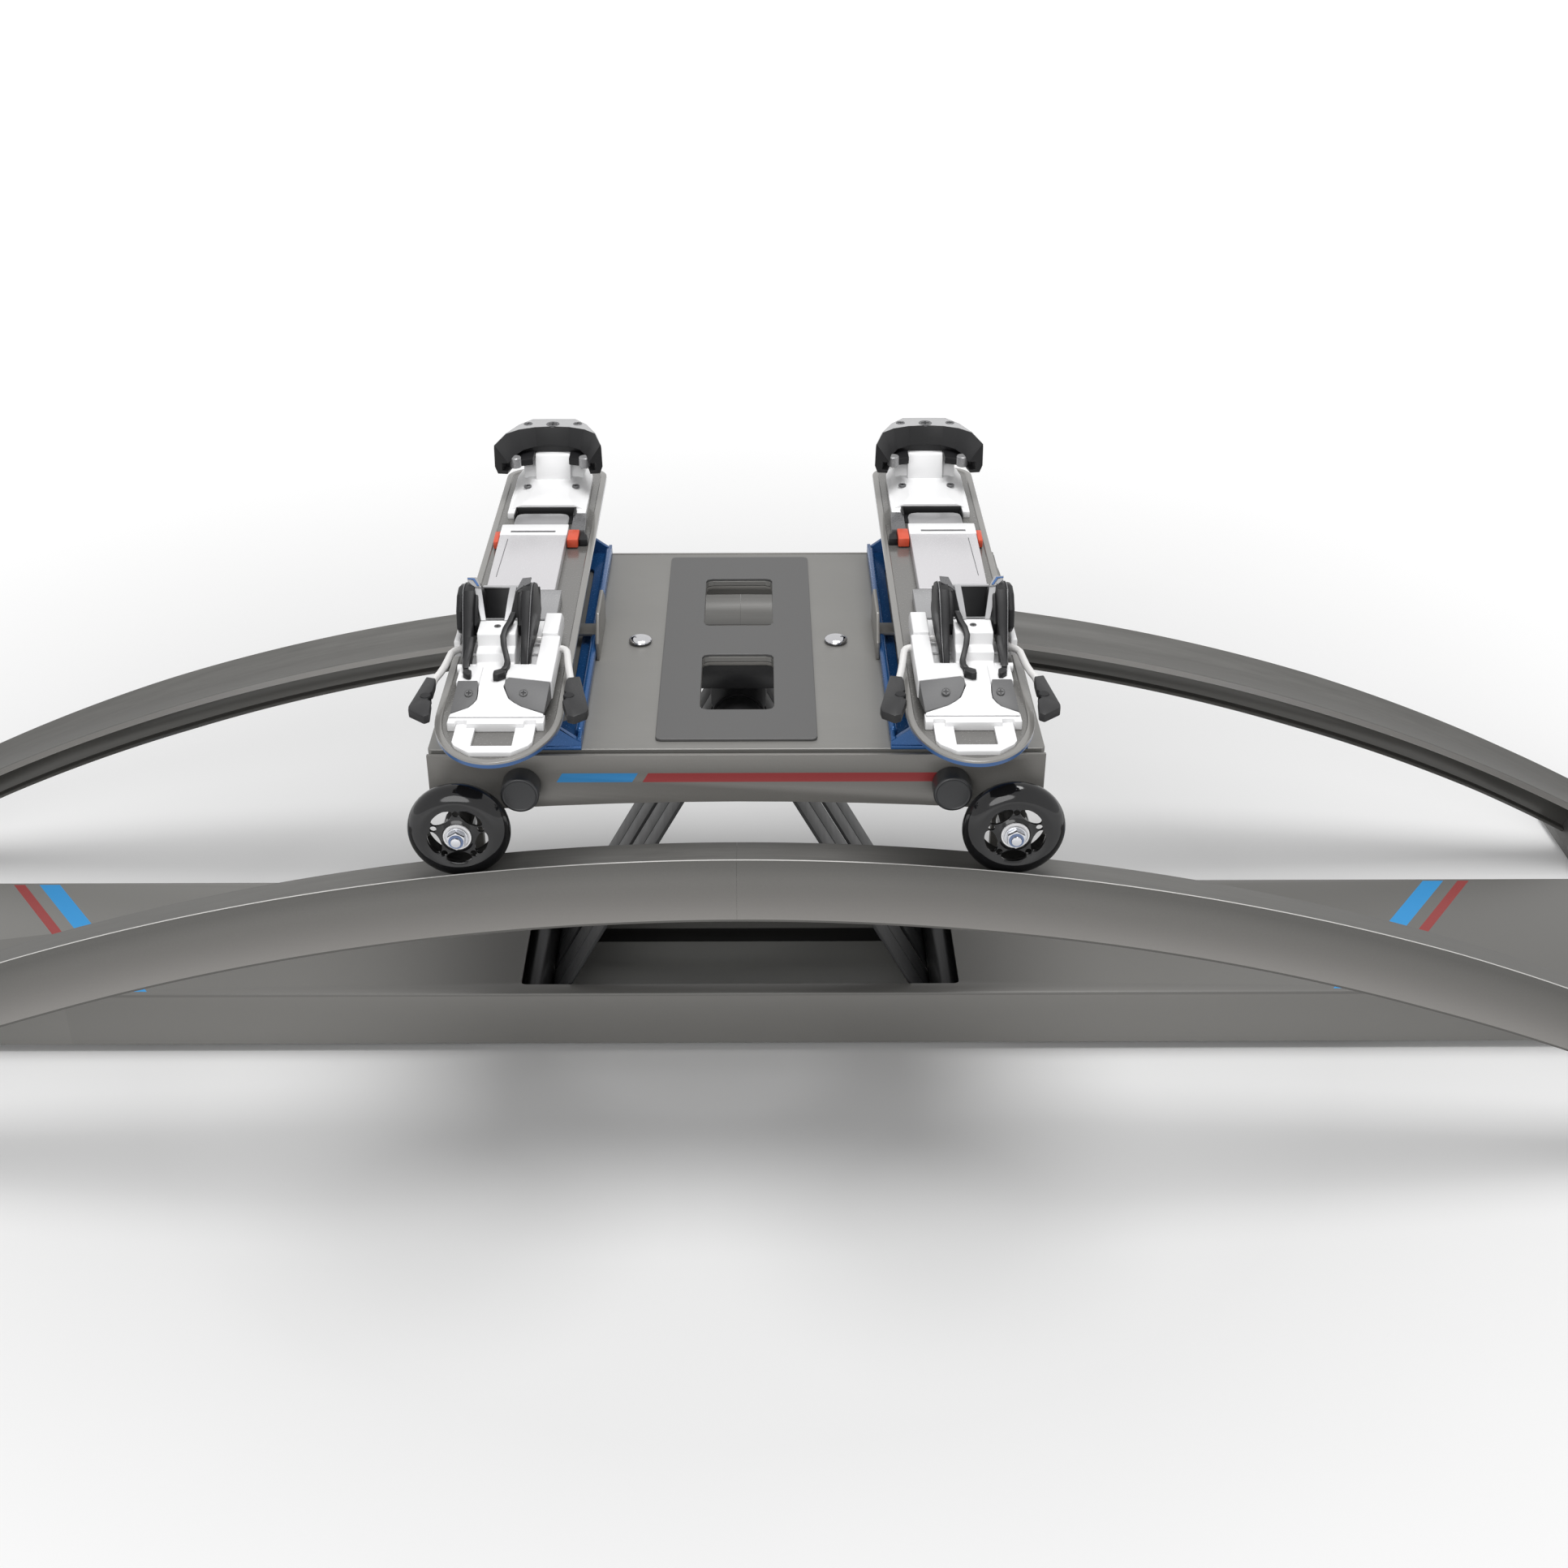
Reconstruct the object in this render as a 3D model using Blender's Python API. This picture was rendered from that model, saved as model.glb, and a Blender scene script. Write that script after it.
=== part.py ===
"""Ski simulator: a carriage with two tilting ski plates and bindings rolls from side to side on two arched
rails, pulled back to the middle by flat rubber bands. Metres, +Z up, X along the rails, toes towards +Y."""

import math

import bmesh
import bpy
from mathutils import Matrix, Vector

# Clearances
GAP = 0.0003  # between pieces that seat on each other
RUN_GAP = 0.0006  # under the rail lip, above a hold-down roller
BORE_GAP = 0.0003  # round a shaft in its bore

# Rails: a dished running surface with a crisp outer ridge, over a convex outer wall
RAIL_RADIUS = 1.860  # of the ridge, about the arc's centre
RIDGE_HEIGHT = 0.300  # of the ridge above the floor, at the middle
RAIL_DROP = 0.2254  # from the ridge's middle down to its ends
RAIL_HALF_ANGLE = math.acos(1 - RAIL_DROP / RAIL_RADIUS)
RAIL_STEPS = 13
RAIL_WIDTH = 0.046  # from the ridge to the inner lip
RAIL_DISH = 0.0102  # how far the running surface lies below the ridge
RAIL_LIP = 0.007  # thickness of the running flange
RAIL_WALL = 0.0040
RAIL_DEPTH = 0.052  # height of the outer wall
RAIL_BULGE = 0.0042  # how far the outer wall swells past the ridge
RAIL_TOE = 0.0095  # inward flange at the foot of the wall
SPLICE_HALF_LENGTH = 0.060
SPLICE_THICK = 0.004

# Base beam, its opening, and the feet
PAD_THICK = 0.007
PAD_LENGTH = 0.056
PAD_WIDTH = 0.072
BEAM_TOP = 0.064
BEAM_HALF_WIDTH = 0.093
BEAM_WALL = 0.003
BEAM_END_SETBACK = 0.0215  # from the rails' ends back to the beam's
BEAM_HALF_LENGTH = RAIL_RADIUS * math.sin(RAIL_HALF_ANGLE) - BEAM_END_SETBACK
OPENING_HALF_LENGTH = 0.198
OPENING_HALF_WIDTH = 0.079
FOOT_WIDTH = 0.108  # of an end foot, along X
FOOT_HALF_LENGTH = 0.350
FOOT_HEIGHT = 0.030  # of its top above the floor
FOOT_WALL = 0.004
FOOT_CORNER = 0.036
FOOT_HOLLOW_HALF = 0.262
CHEEK_THICK = 0.004
CHEEK_Y = 0.0830
TONGUE_LENGTH = 0.034
TONGUE_THICK = 0.012

# Bands, the spool that they hang on, and the rollers in the beam
BAND_WIDTH = 0.035
BAND_THICK = 0.003
BAND_CENTRES = (-0.0600, -0.0232, 0.0232, 0.0600)
SPOOL_Z = 0.295
SPOOL_GROOVE_RADIUS = 0.020
SPOOL_FLANGE_RADIUS = 0.025
SPOOL_HALF_LENGTH = 0.0795
SPOOL_NECK = 0.0048  # half width of the neck that the hanger goes round
SPOOL_AXLE_RADIUS = 0.006
BAND_ROLLER_X = 0.192
BAND_ROLLER_Z = 0.031
BAND_ROLLER_RADIUS = 0.016
BAND_ROLLER_HALF = 0.0785
BAND_AXLE_RADIUS = 0.005
ANCHOR_X = 0.340  # inner face of an anchor block
ANCHOR_LENGTH = 0.036
ANCHOR_GRIP = 0.022  # how far a band reaches into its anchor

# Carriage
DECK_HALF_X = 0.240
DECK_HALF_Y = 0.1965
DECK_TOP = 0.368
DECK_PLATE_THICK = 0.005
DECK_GROOVE = 0.004
SHEET = 0.003
APRON_TOP_DROP = 0.0015
APRON_MID_Z = 0.3246
APRON_END_Z = 0.3150
SKIRT_Z = 0.330
SKI_INSET = 0.067  # from the deck's end to a ski's centre line
SKI_X = DECK_HALF_X - SKI_INSET
TUBE_OFFSET = 0.0055  # a cross tube's centre from the ski's, towards the middle
TUBE_X = SKI_X - TUBE_OFFSET
TUBE_Z = 0.341
TUBE_RADIUS = 0.0130
TUBE_BORE = 0.0105
PLUG_RADIUS = 0.015
PLUG_STAND = 0.018
PLUG_SPIGOT = 0.016
PANEL_HALF_X = 0.0635
PANEL_END_ROOM = 0.019
PANEL_HALF_Y = DECK_HALF_Y - PANEL_END_ROOM
PANEL_THICK = 0.002
WINDOW_HALF_X = 0.030
WINDOW_HALF_Y = 0.050
WINDOW_Y = 0.078
WINDOW_CORNER = 0.006
DOME_X = 0.084
DOME_RADIUS = 0.010
DOME_HEIGHT = 0.0055
CHANNEL_END_ROOM = 0.0005  # from the channel's end to a cross tube
CHANNEL_HALF_Y = 0.024
CHANNEL_DEPTH = 0.024
HANGER_HALF_X = 0.024

# Running wheels and hold-down rollers
WHEEL_RADIUS = 0.040
WHEEL_WIDTH = 0.024
WHEEL_INSET = 0.0256  # from the deck's end to a wheel's axle
WHEEL_X = DECK_HALF_X - WHEEL_INSET
WHEEL_STAND = 0.0295  # from the apron to the wheel's middle
WHEEL_Y = DECK_HALF_Y + WHEEL_STAND
RIDGE_OFFSET = 0.020  # from the wheel's middle out to the rail's ridge
RIDGE_Y = WHEEL_Y + RIDGE_OFFSET
WHEEL_BORE = 0.0043
WHEEL_SPOKES = 5
HUB_RADIUS = 0.0265
BEARING_RADIUS = 0.011
HUB_DISH = 0.0065  # how far the hub's web lies below the tyre's side
SPOKE_OPENING = (0.0092, 0.0044)  # half sizes of an oval opening
SPOKE_REACH = 0.0193
STUD_RADIUS = 0.004
NUT_RADIUS = 0.0062
NUT_THICK = 0.006
ROLLER_RADIUS = 0.013
ROLLER_WIDTH = 0.011
ROLLER_OFFSET = 0.0145  # from the wheel's middle in to the roller's
ROLLER_Y = WHEEL_Y - ROLLER_OFFSET
BRACKET_WIDTH = 0.026
BRACKET_Y = (DECK_HALF_Y - 0.0110, DECK_HALF_Y - 0.0015)

# Ski plates on their tilt brackets
SKI_HALF_WIDTH = 0.047
SKI_NEAR = -0.3205
SKI_FAR = 0.253
SKI_TOP = 0.430
SKI_THICK = 0.005
SKI_RIM = 0.0035
SKI_RECESS = 0.0012
PIVOT_Z = 0.406
PIVOT_RADIUS = 0.0090
PIN_RADIUS = 0.0042
TILT_HALF_WIDTH = 0.053
TILT_END_ROOM = 0.004
TILT_HALF_LENGTH = DECK_HALF_Y - TILT_END_ROOM
TILT_PLATE = 0.003
GUSSET_THICK = 0.005
GUSSET_Y = TILT_HALF_LENGTH - 0.0025  # outer face
BOSS_STAND = 0.003  # how far a pivot boss stands out of its gusset
LUG_THICK = 0.006
LUG_HALF_X = 0.014
STRAP_HALF_Y = 0.010
STRAP_THICK = 0.003
FIN_THICK = 0.003
FIN_TOP = 0.404

# Bindings
GLIDE_HALF_X = 0.029
GLIDE_Y = (-0.045, 0.094)
GLIDE_THICK = 0.010
GLIDE_TONGUE = 0.028  # how far its thinner tongue reaches past the plate
TONGUE_HALF_X = 0.0255
TONGUE_SLOT_ROOM = 0.001
TOE_SLOT_END_Y = 0.141
TOE_BASE_Y = (0.116, 0.243)
TOE_BASE_HALF_X = 0.0345
TOE_BASE_THICK = 0.008
WING_TIP_Y = 0.166
TOE_STOP_Y = 0.213  # where the boot's toe meets the middle of the head
TOE_BACK_Y = 0.248
TOE_WING_Z = (0.4575, 0.4815)
TOE_WING_HALF_X = 0.050
WING_THICK = 0.009
TOE_TOP = 0.485
HEEL_TRACK_Y = (-0.3105, -0.100)
HEEL_TRACK_HALF_X = 0.029
HEEL_TRACK_THICK = 0.007
HEEL_WAIST_HALF_X = 0.012
HEEL_TAIL_THICK = 0.0035  # of the track behind its wings
HEEL_WINDOW_Y = (-0.301, -0.2745)  # the opening in the tail
HOUSING_HALF_X = 0.0145
HOUSING_Y = (-0.229, -0.135)
HOUSING_TOP = 0.4665
HOUSING_STEP = 0.0095  # height of each of the two steps behind the top
HEEL_OFFSET = 0.007  # the housing and its arms stand outboard of the ski's middle
SIDE_BOX_X = (0.0240, 0.0385)  # beside the inboard arm
SIDE_BOX_Y = (-0.237, -0.112)
LUG_X = (0.0380, 0.0430)  # beside the outboard arm
RAMP_END_Y = -0.261  # the ramps behind the housing run down to here
RAMP_HALF_X = 0.034
SIDE_BOX_TOP = 0.452
CUP_PIVOT_Y = -0.201
CUP_PIVOT_Z = 0.4440
CUP_AXLE_RADIUS = 0.0034
CUP_TOP = 0.4930
CUP_FRONT_Y = -0.104
ARM_INNER_X = 0.0185
ARM_OUTER_X = 0.0300
BRAKE_PIVOT_Y = -0.150
BRAKE_PIVOT_Z = 0.4437
BRAKE_WIRE = 0.0030  # radius
BRAKE_PAD_X = (0.0478, 0.0665)
BRAKE_PAD_Y = (-0.272, -0.210)
BRAKE_PAD_Z = (0.4335, 0.4475)


# Helpers

def clear_scene():
    for obj in list(bpy.data.objects):
        bpy.data.objects.remove(obj, do_unlink=True)


def material(name, colour, roughness, metallic=0.0):
    mat = bpy.data.materials.get(name) or bpy.data.materials.new(name)
    mat.use_nodes = True
    mat.diffuse_color = (*colour, 1.0)
    shader = mat.node_tree.nodes["Principled BSDF"]
    shader.inputs["Base Color"].default_value = (*colour, 1.0)
    shader.inputs["Roughness"].default_value = roughness
    shader.inputs["Metallic"].default_value = metallic
    return mat


def from_bmesh(bm, name):
    bmesh.ops.recalc_face_normals(bm, faces=bm.faces)
    mesh = bpy.data.meshes.new(name)
    bm.to_mesh(mesh)
    bm.free()
    obj = bpy.data.objects.new(name, mesh)
    bpy.context.scene.collection.objects.link(obj)
    return obj


AXES = {
    "X": lambda u, v, w: (w, u, v),  # outline in Y, Z
    "Y": lambda u, v, w: (u, w, v),  # outline in X, Z
    "Z": lambda u, v, w: (u, v, w),  # outline in X, Y
}


def prism(name, outline, low, high, axis="Z"):
    """A closed outline of (u, v) points, extruded along an axis from low to high."""
    bm = bmesh.new()
    at = AXES[axis]
    base = bm.faces.new([bm.verts.new(at(u, v, low)) for u, v in outline])
    swept = bmesh.ops.extrude_face_region(bm, geom=[base])["geom"]
    moved = [g for g in swept if isinstance(g, bmesh.types.BMVert)]
    bmesh.ops.translate(bm, verts=moved, vec=Vector(at(0, 0, high - low)))
    return from_bmesh(bm, name)


def box(name, x, y, z):
    """x, y and z are (low, high) pairs."""
    outline = [(x[0], y[0]), (x[1], y[0]), (x[1], y[1]), (x[0], y[1])]
    return prism(name, outline, z[0], z[1])


def turned(name, profile, centre, steps, axis="Y"):
    """A profile of (radius, height) points from axis to axis, or closed on itself for a ring."""
    bm = bmesh.new()
    ring = profile[0][0] > 0
    verts = [bm.verts.new((r, 0, h)) for r, h in profile]
    edges = [bm.edges.new(pair) for pair in zip(verts, verts[1:])]
    if ring:
        edges.append(bm.edges.new((verts[-1], verts[0])))
    bmesh.ops.spin(bm, geom=verts + edges, cent=(0, 0, 0), axis=(0, 0, 1), dvec=(0, 0, 0),
                   angle=2 * math.pi, steps=steps, use_merge=True, use_duplicate=False)
    bmesh.ops.remove_doubles(bm, verts=bm.verts, dist=1e-6)
    turn = {"Y": Matrix.Rotation(-math.pi / 2, 4, "X"), "X": Matrix.Rotation(math.pi / 2, 4, "Y"),
            "Z": Matrix.Identity(4)}[axis]
    bmesh.ops.transform(bm, matrix=Matrix.Translation(centre) @ turn, verts=bm.verts)
    return from_bmesh(bm, name)


def rod(name, radius, centre, low, high, axis="Y", steps=16):
    """A plain cylinder; low and high are along the axis, from the centre."""
    return turned(name, [(0, low), (radius, low), (radius, high), (0, high)], centre, steps, axis)


def boolean(target, tool, operation):
    """Applies an exact Boolean and drops the tool."""
    modifier = target.modifiers.new(operation.title(), "BOOLEAN")
    modifier.operation = operation
    modifier.solver = "EXACT"
    modifier.object = tool
    bpy.context.view_layer.update()
    result = target.evaluated_get(bpy.context.evaluated_depsgraph_get())
    mesh = bpy.data.meshes.new_from_object(result)
    target.modifiers.remove(modifier)
    target.data = mesh
    bpy.data.objects.remove(tool, do_unlink=True)
    return target


def join(target, *tools):
    for tool in tools:
        boolean(target, tool, "UNION")
    return target


def cut(target, *tools):
    for tool in tools:
        boolean(target, tool, "DIFFERENCE")
    return target


def bevel_edges(obj, width, keep, segments=1):
    """Bevels the edges for which keep(middle, direction) is true."""
    bm = bmesh.new()
    bm.from_mesh(obj.data)
    picked = []
    for edge in bm.edges:
        a, b = (v.co for v in edge.verts)
        if not edge.is_manifold or edge.calc_face_angle(0) < 0.3:
            continue
        if keep((a + b) / 2, (b - a).normalized()):
            picked.append(edge)
    bmesh.ops.bevel(bm, geom=picked, offset=width, segments=segments, profile=0.5,
                    affect="EDGES", clamp_overlap=True)
    bm.to_mesh(obj.data)
    bm.free()
    return obj


def rounded(x, y, radius, steps=2, centre=(0, 0)):
    """A rectangle of half sizes x and y with rounded corners."""
    points = []
    for quarter, (sx, sy) in enumerate(((1, 1), (-1, 1), (-1, -1), (1, -1))):
        for i in range(steps + 1):
            angle = (quarter + i / steps) * math.pi / 2
            points.append((centre[0] + sx * (x - radius) + radius * math.cos(angle),
                           centre[1] + sy * (y - radius) + radius * math.sin(angle)))
    return points


def finish(obj, mat, parent=None, pivot=None, smooth=35):
    """Gives a material and shading, sets the origin on the pivot and parents the piece."""
    obj.data.materials.clear()
    obj.data.materials.append(mat)
    obj.data.shade_smooth()
    obj.data.set_sharp_from_angle(angle=math.radians(smooth))
    at = Vector(pivot) if pivot is not None else Vector((0, 0, 0))
    if at.length:
        obj.data.transform(Matrix.Translation(-at))
    obj.location = at
    if parent is not None:
        obj.parent = parent
        obj.matrix_parent_inverse = Matrix.Translation(parent.location).inverted()
    return obj


def empty(name, location):
    obj = bpy.data.objects.new(name, None)
    obj.empty_display_size = 0.05
    obj.location = location
    bpy.context.scene.collection.objects.link(obj)
    return obj


def mirrored_x(outline):
    return [(-u, v) for u, v in reversed(outline)]


# Rails

ARC_Z = RIDGE_HEIGHT - RAIL_RADIUS


def rail_profile():
    """(outward from the ridge, above the ridge), round the section once."""
    wall = [(RAIL_BULGE * math.sin(math.pi * t) + 0.0012 * t, -0.0012 - (RAIL_DEPTH - 0.0022) * t)
            for t in (0.03, 0.25, 0.50, 0.75, 1.0)]
    inner = [(u - RAIL_WALL, v) for u, v in wall[1:4]]
    inner[0] = (inner[0][0] - 0.002, -RAIL_DISH - RAIL_LIP + 0.001)
    dish = [(-RAIL_WIDTH * t, -RAIL_DISH * (1 - (1 - min(t / 0.45, 1)) ** 2)) for t in (0, 0.13, 0.27, 0.45)]
    lip = [(-RAIL_WIDTH, -RAIL_DISH), (-RAIL_WIDTH, -RAIL_DISH - RAIL_LIP)]
    foot = [(-RAIL_TOE, -RAIL_DEPTH + 0.0035), (-RAIL_TOE, -RAIL_DEPTH)]
    return dish + lip + inner + [(-RAIL_WALL - 0.0005, -RAIL_DEPTH + 0.0045)] + foot + wall[::-1]


def arc_sweep(name, profile, side, start, end, steps):
    """Sweeps (outward, above ridge) points along the rail's arc, on the front (-1) or back (+1) rail."""
    bm = bmesh.new()
    rings = []
    for i in range(steps + 1):
        angle = start + (end - start) * i / steps
        rings.append([bm.verts.new(((RAIL_RADIUS + v) * math.sin(angle), side * (RIDGE_Y + u),
                                    ARC_Z + (RAIL_RADIUS + v) * math.cos(angle))) for u, v in profile])
    bm.faces.new(rings[0])
    bm.faces.new(rings[-1])
    for a, b in zip(rings, rings[1:]):
        for i in range(len(profile)):
            j = (i + 1) % len(profile)
            bm.faces.new((a[i], a[j], b[j], b[i]))
    return from_bmesh(bm, name)


def make_rails(paint, splice_metal):
    seam = GAP / 2 / RAIL_RADIUS
    profile = rail_profile()
    for side, end in ((-1, "front"), (1, "back")):
        for hand, word in ((-1, "left"), (1, "right")):
            rail = arc_sweep(f"rail_{end}_{word}", profile, side, hand * seam, hand * RAIL_HALF_ANGLE,
                             RAIL_STEPS)
            finish(rail, paint, smooth=24)
        # The splice lies against the inside of the outer wall, across the seam.
        wall = [(RAIL_BULGE * math.sin(math.pi * t) + 0.0012 * t - RAIL_WALL - GAP,
                 -0.0012 - (RAIL_DEPTH - 0.0022) * t) for t in (0.50, 0.75)]
        back = [(wall[-1][0] - SPLICE_THICK, wall[-1][1]), (wall[-1][0] - SPLICE_THICK, wall[0][1])]
        half = SPLICE_HALF_LENGTH / RAIL_RADIUS
        splice = arc_sweep(f"rail_splice_{end}", wall + back, side, -half, half, 4)
        finish(splice, splice_metal)


# Base beam, end feet and pads

def make_beam(paint):
    floor = PAD_THICK
    beam = box("base_beam", (-BEAM_HALF_LENGTH, BEAM_HALF_LENGTH), (-BEAM_HALF_WIDTH, BEAM_HALF_WIDTH),
               (floor, BEAM_TOP))
    bevel_edges(beam, 0.0025, lambda m, d: abs(d.x) > 0.9, 2)
    inner = box("hollow", (-BEAM_HALF_LENGTH - 0.01, BEAM_HALF_LENGTH + 0.01),
                (-BEAM_HALF_WIDTH + BEAM_WALL, BEAM_HALF_WIDTH - BEAM_WALL),
                (floor + BEAM_WALL, BEAM_TOP - BEAM_WALL))
    slot = prism("opening", rounded(OPENING_HALF_LENGTH, OPENING_HALF_WIDTH, 0.004, 2),
                 BEAM_TOP - 2 * BEAM_WALL, BEAM_TOP + 0.01)
    cut(beam, inner, slot)
    # Cheeks carry each roller's axle between the floor and the top of the beam.
    for hand in (-1, 1):
        x = hand * BAND_ROLLER_X
        for side in (-1, 1):
            y = sorted((side * CHEEK_Y, side * (CHEEK_Y + CHEEK_THICK)))
            top = BAND_ROLLER_Z + 0.016
            outline = [(x - 0.018, floor + 0.001), (x + 0.018, floor + 0.001), (x + 0.018, BAND_ROLLER_Z),
                       (x + 0.010, top), (x - 0.010, top), (x - 0.018, BAND_ROLLER_Z)]
            join(beam, prism("cheek", outline, y[0], y[1], "Y"))
        bore = rod("bore", BAND_AXLE_RADIUS + BORE_GAP, (x, 0, BAND_ROLLER_Z), -CHEEK_Y - CHEEK_THICK - 0.001,
                   CHEEK_Y + CHEEK_THICK + 0.001)
        cut(beam, bore)
    finish(beam, paint)


def make_end_foot(hand, word, cast, rubber):
    """A cast crossbar with a seat for each rail end, a cap and a tongue for the beam."""
    x0 = BEAM_HALF_LENGTH + GAP
    x1 = x0 + FOOT_WIDTH
    low = PAD_THICK
    mid = (x0 + x1) / 2
    half = (x1 - x0) / 2
    plan = rounded(half, FOOT_HALF_LENGTH, FOOT_CORNER, 5, (mid, 0))
    foot = prism(f"end_foot_{word}", plan, low, FOOT_HEIGHT)
    bevel_edges(foot, 0.004, lambda m, d: m.z > FOOT_HEIGHT - 0.0005 and abs(d.z) < 0.1, 2)
    hollow = box("hollow", (x0 + FOOT_WALL, x1 - FOOT_WALL), (-FOOT_HOLLOW_HALF, FOOT_HOLLOW_HALF),
                 (low - 0.01, FOOT_HEIGHT - FOOT_WALL))
    cut(foot, hollow)
    # The cap closes the beam's end, and its tongue lies on the beam's floor.
    foot_of_cap = FOOT_HEIGHT - 0.002
    cap = [(x0, foot_of_cap), (x0, BEAM_TOP), (x0 + 0.018, BEAM_TOP), (x0 + 0.070, foot_of_cap)]
    join(foot, prism("cap", cap, -BEAM_HALF_WIDTH, BEAM_HALF_WIDTH, "Y"))
    inside = BEAM_HALF_WIDTH - BEAM_WALL - GAP
    tongue_low = low + BEAM_WALL + GAP
    join(foot, box("tongue", (x0 - TONGUE_LENGTH, x0 + 0.006), (-inside, inside),
                   (tongue_low, tongue_low + TONGUE_THICK)))
    # The seat plates stand square to the rails' ends, with a rib behind each.
    for side in (-1, 1):
        a = RAIL_HALF_ANGLE
        along = Vector((math.cos(a), -math.sin(a)))
        out = Vector((math.sin(a), math.cos(a)))
        centre = Vector((0, ARC_Z))

        def at(radius, distance):
            return tuple(centre + out * radius + along * distance)

        bottom = RAIL_RADIUS - RAIL_DEPTH - 0.006
        top = RAIL_RADIUS + 0.002
        plate = [at(bottom, GAP), at(bottom, 0.008), at(top, 0.008), at(top, GAP)]
        y = sorted((side * (RIDGE_Y - RAIL_WIDTH - 0.002), side * (RIDGE_Y + RAIL_BULGE + 0.003)))
        seat = prism("seat", plate, y[0], y[1], "Y")
        rib_top = at(RAIL_RADIUS - 0.010, 0.006)
        rib_low = at(bottom + 0.004, 0.004)
        rib = prism("rib", [rib_low, (rib_low[0] + 0.060, FOOT_HEIGHT - 0.003), rib_top],
                    side * (RIDGE_Y - 0.020) - 0.004, side * (RIDGE_Y - 0.020) + 0.004, "Y")
        join(foot, seat, rib)
    if hand < 0:
        foot.data.transform(Matrix.Scale(-1, 4, (1, 0, 0)))
        foot.data.flip_normals()
    finish(foot, cast)
    for side, end in ((-1, "front"), (1, "back")):
        y = side * (FOOT_HALF_LENGTH - PAD_WIDTH / 2 - 0.006)
        plan = rounded(PAD_LENGTH / 2, PAD_WIDTH / 2, 0.012, 3, (hand * mid, y))
        pad = prism(f"foot_pad_{end}_{word}", plan, 0, PAD_THICK - GAP)
        finish(pad, rubber)


# Bands, rollers and anchors

def band_path():
    """The middle line of a band as (x, z), from the left anchor over the spool to the right anchor."""
    r1 = SPOOL_GROOVE_RADIUS + GAP + BAND_THICK / 2
    r2 = BAND_ROLLER_RADIUS + GAP + BAND_THICK / 2
    dx, dz = BAND_ROLLER_X, BAND_ROLLER_Z - SPOOL_Z
    span = math.hypot(dx, dz)
    leg = math.atan2(dz, dx) - math.asin((r1 + r2) / span)
    square = leg + math.pi / 2
    right = [(r1 * math.cos(a), SPOOL_Z + r1 * math.sin(a))
             for a in (math.pi / 2 + (square - math.pi / 2) * i / 4 for i in range(5))]
    right += [(BAND_ROLLER_X + r2 * math.cos(a), BAND_ROLLER_Z + r2 * math.sin(a))
              for a in (square + math.pi + (math.pi / 2 - square) * i / 4 for i in range(5))]
    right.append((ANCHOR_X + ANCHOR_GRIP - GAP, BAND_ROLLER_Z - r2))
    return mirrored_x(right[1:]) + right


def offset_path(path, distance):
    """The path moved sideways, square to its own direction."""
    moved = []
    for i, (x, z) in enumerate(path):
        ahead = path[min(i + 1, len(path) - 1)]
        behind = path[max(i - 1, 0)]
        before = Vector((x - behind[0], z - behind[1])).normalized() if i else None
        after = Vector((ahead[0] - x, ahead[1] - z)).normalized() if i < len(path) - 1 else None
        before, after = before or after, after or before
        mean = (before + after).normalized()
        stretch = distance / max(mean.dot(after), 0.5)
        moved.append((x - mean.y * stretch, z + mean.x * stretch))
    return moved


def make_bands(rubber, steel, cast):
    path = band_path()
    outline = offset_path(path, BAND_THICK / 2) + offset_path(path, -BAND_THICK / 2)[::-1]
    for number, y in enumerate(BAND_CENTRES, 1):
        band = prism(f"rubber_band_{number}", outline, y - BAND_WIDTH / 2, y + BAND_WIDTH / 2, "Y")
        finish(band, rubber)
    band_z = BAND_ROLLER_Z - BAND_ROLLER_RADIUS - GAP - BAND_THICK / 2
    for hand, word in ((-1, "left"), (1, "right")):
        centre = (hand * BAND_ROLLER_X, 0, BAND_ROLLER_Z)
        end = CHEEK_Y + CHEEK_THICK
        h, r, a = BAND_ROLLER_HALF, BAND_ROLLER_RADIUS, BAND_AXLE_RADIUS
        profile = [(0, -end), (a, -end), (a, -h), (r, -h), (r, h), (a, h), (a, end), (0, end)]
        roller = turned(f"beam_roller_{word}", profile, centre, 14)
        finish(roller, steel, pivot=centre)
        x = sorted((hand * ANCHOR_X, hand * (ANCHOR_X + ANCHOR_LENGTH)))
        width = BEAM_HALF_WIDTH - BEAM_WALL - GAP
        block = box(f"band_anchor_{word}", x, (-width, width),
                    (PAD_THICK + BEAM_WALL + GAP, band_z + BAND_THICK / 2 + 0.010))
        bevel_edges(block, 0.002, lambda m, d: m.z > band_z + 0.008 and abs(d.z) < 0.1)
        grip = sorted((hand * (ANCHOR_X - 0.005), hand * (ANCHOR_X + ANCHOR_GRIP)))
        low = band_z - BAND_THICK / 2 - GAP
        half = BAND_CENTRES[-1] + BAND_WIDTH / 2 + 0.001
        mouth = box("mouth", grip, (-half, half), (low, band_z + BAND_THICK / 2 + GAP))
        cut(block, mouth)
        finish(block, cast)


# Carriage

def wheel_centre():
    """Centre of a running wheel, on the dished surface, as (x, z)."""
    reach = RAIL_RADIUS - RAIL_DISH + WHEEL_RADIUS + GAP
    return WHEEL_X, ARC_Z + math.sqrt(reach ** 2 - WHEEL_X ** 2)


def roller_centre():
    """Centre of a hold-down roller, under the lip on the wheel's own radius."""
    x, z = wheel_centre()
    angle = math.atan2(x, z - ARC_Z)
    reach = RAIL_RADIUS - RAIL_DISH - RAIL_LIP - RUN_GAP - ROLLER_RADIUS
    return reach * math.sin(angle), ARC_Z + reach * math.cos(angle)


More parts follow.
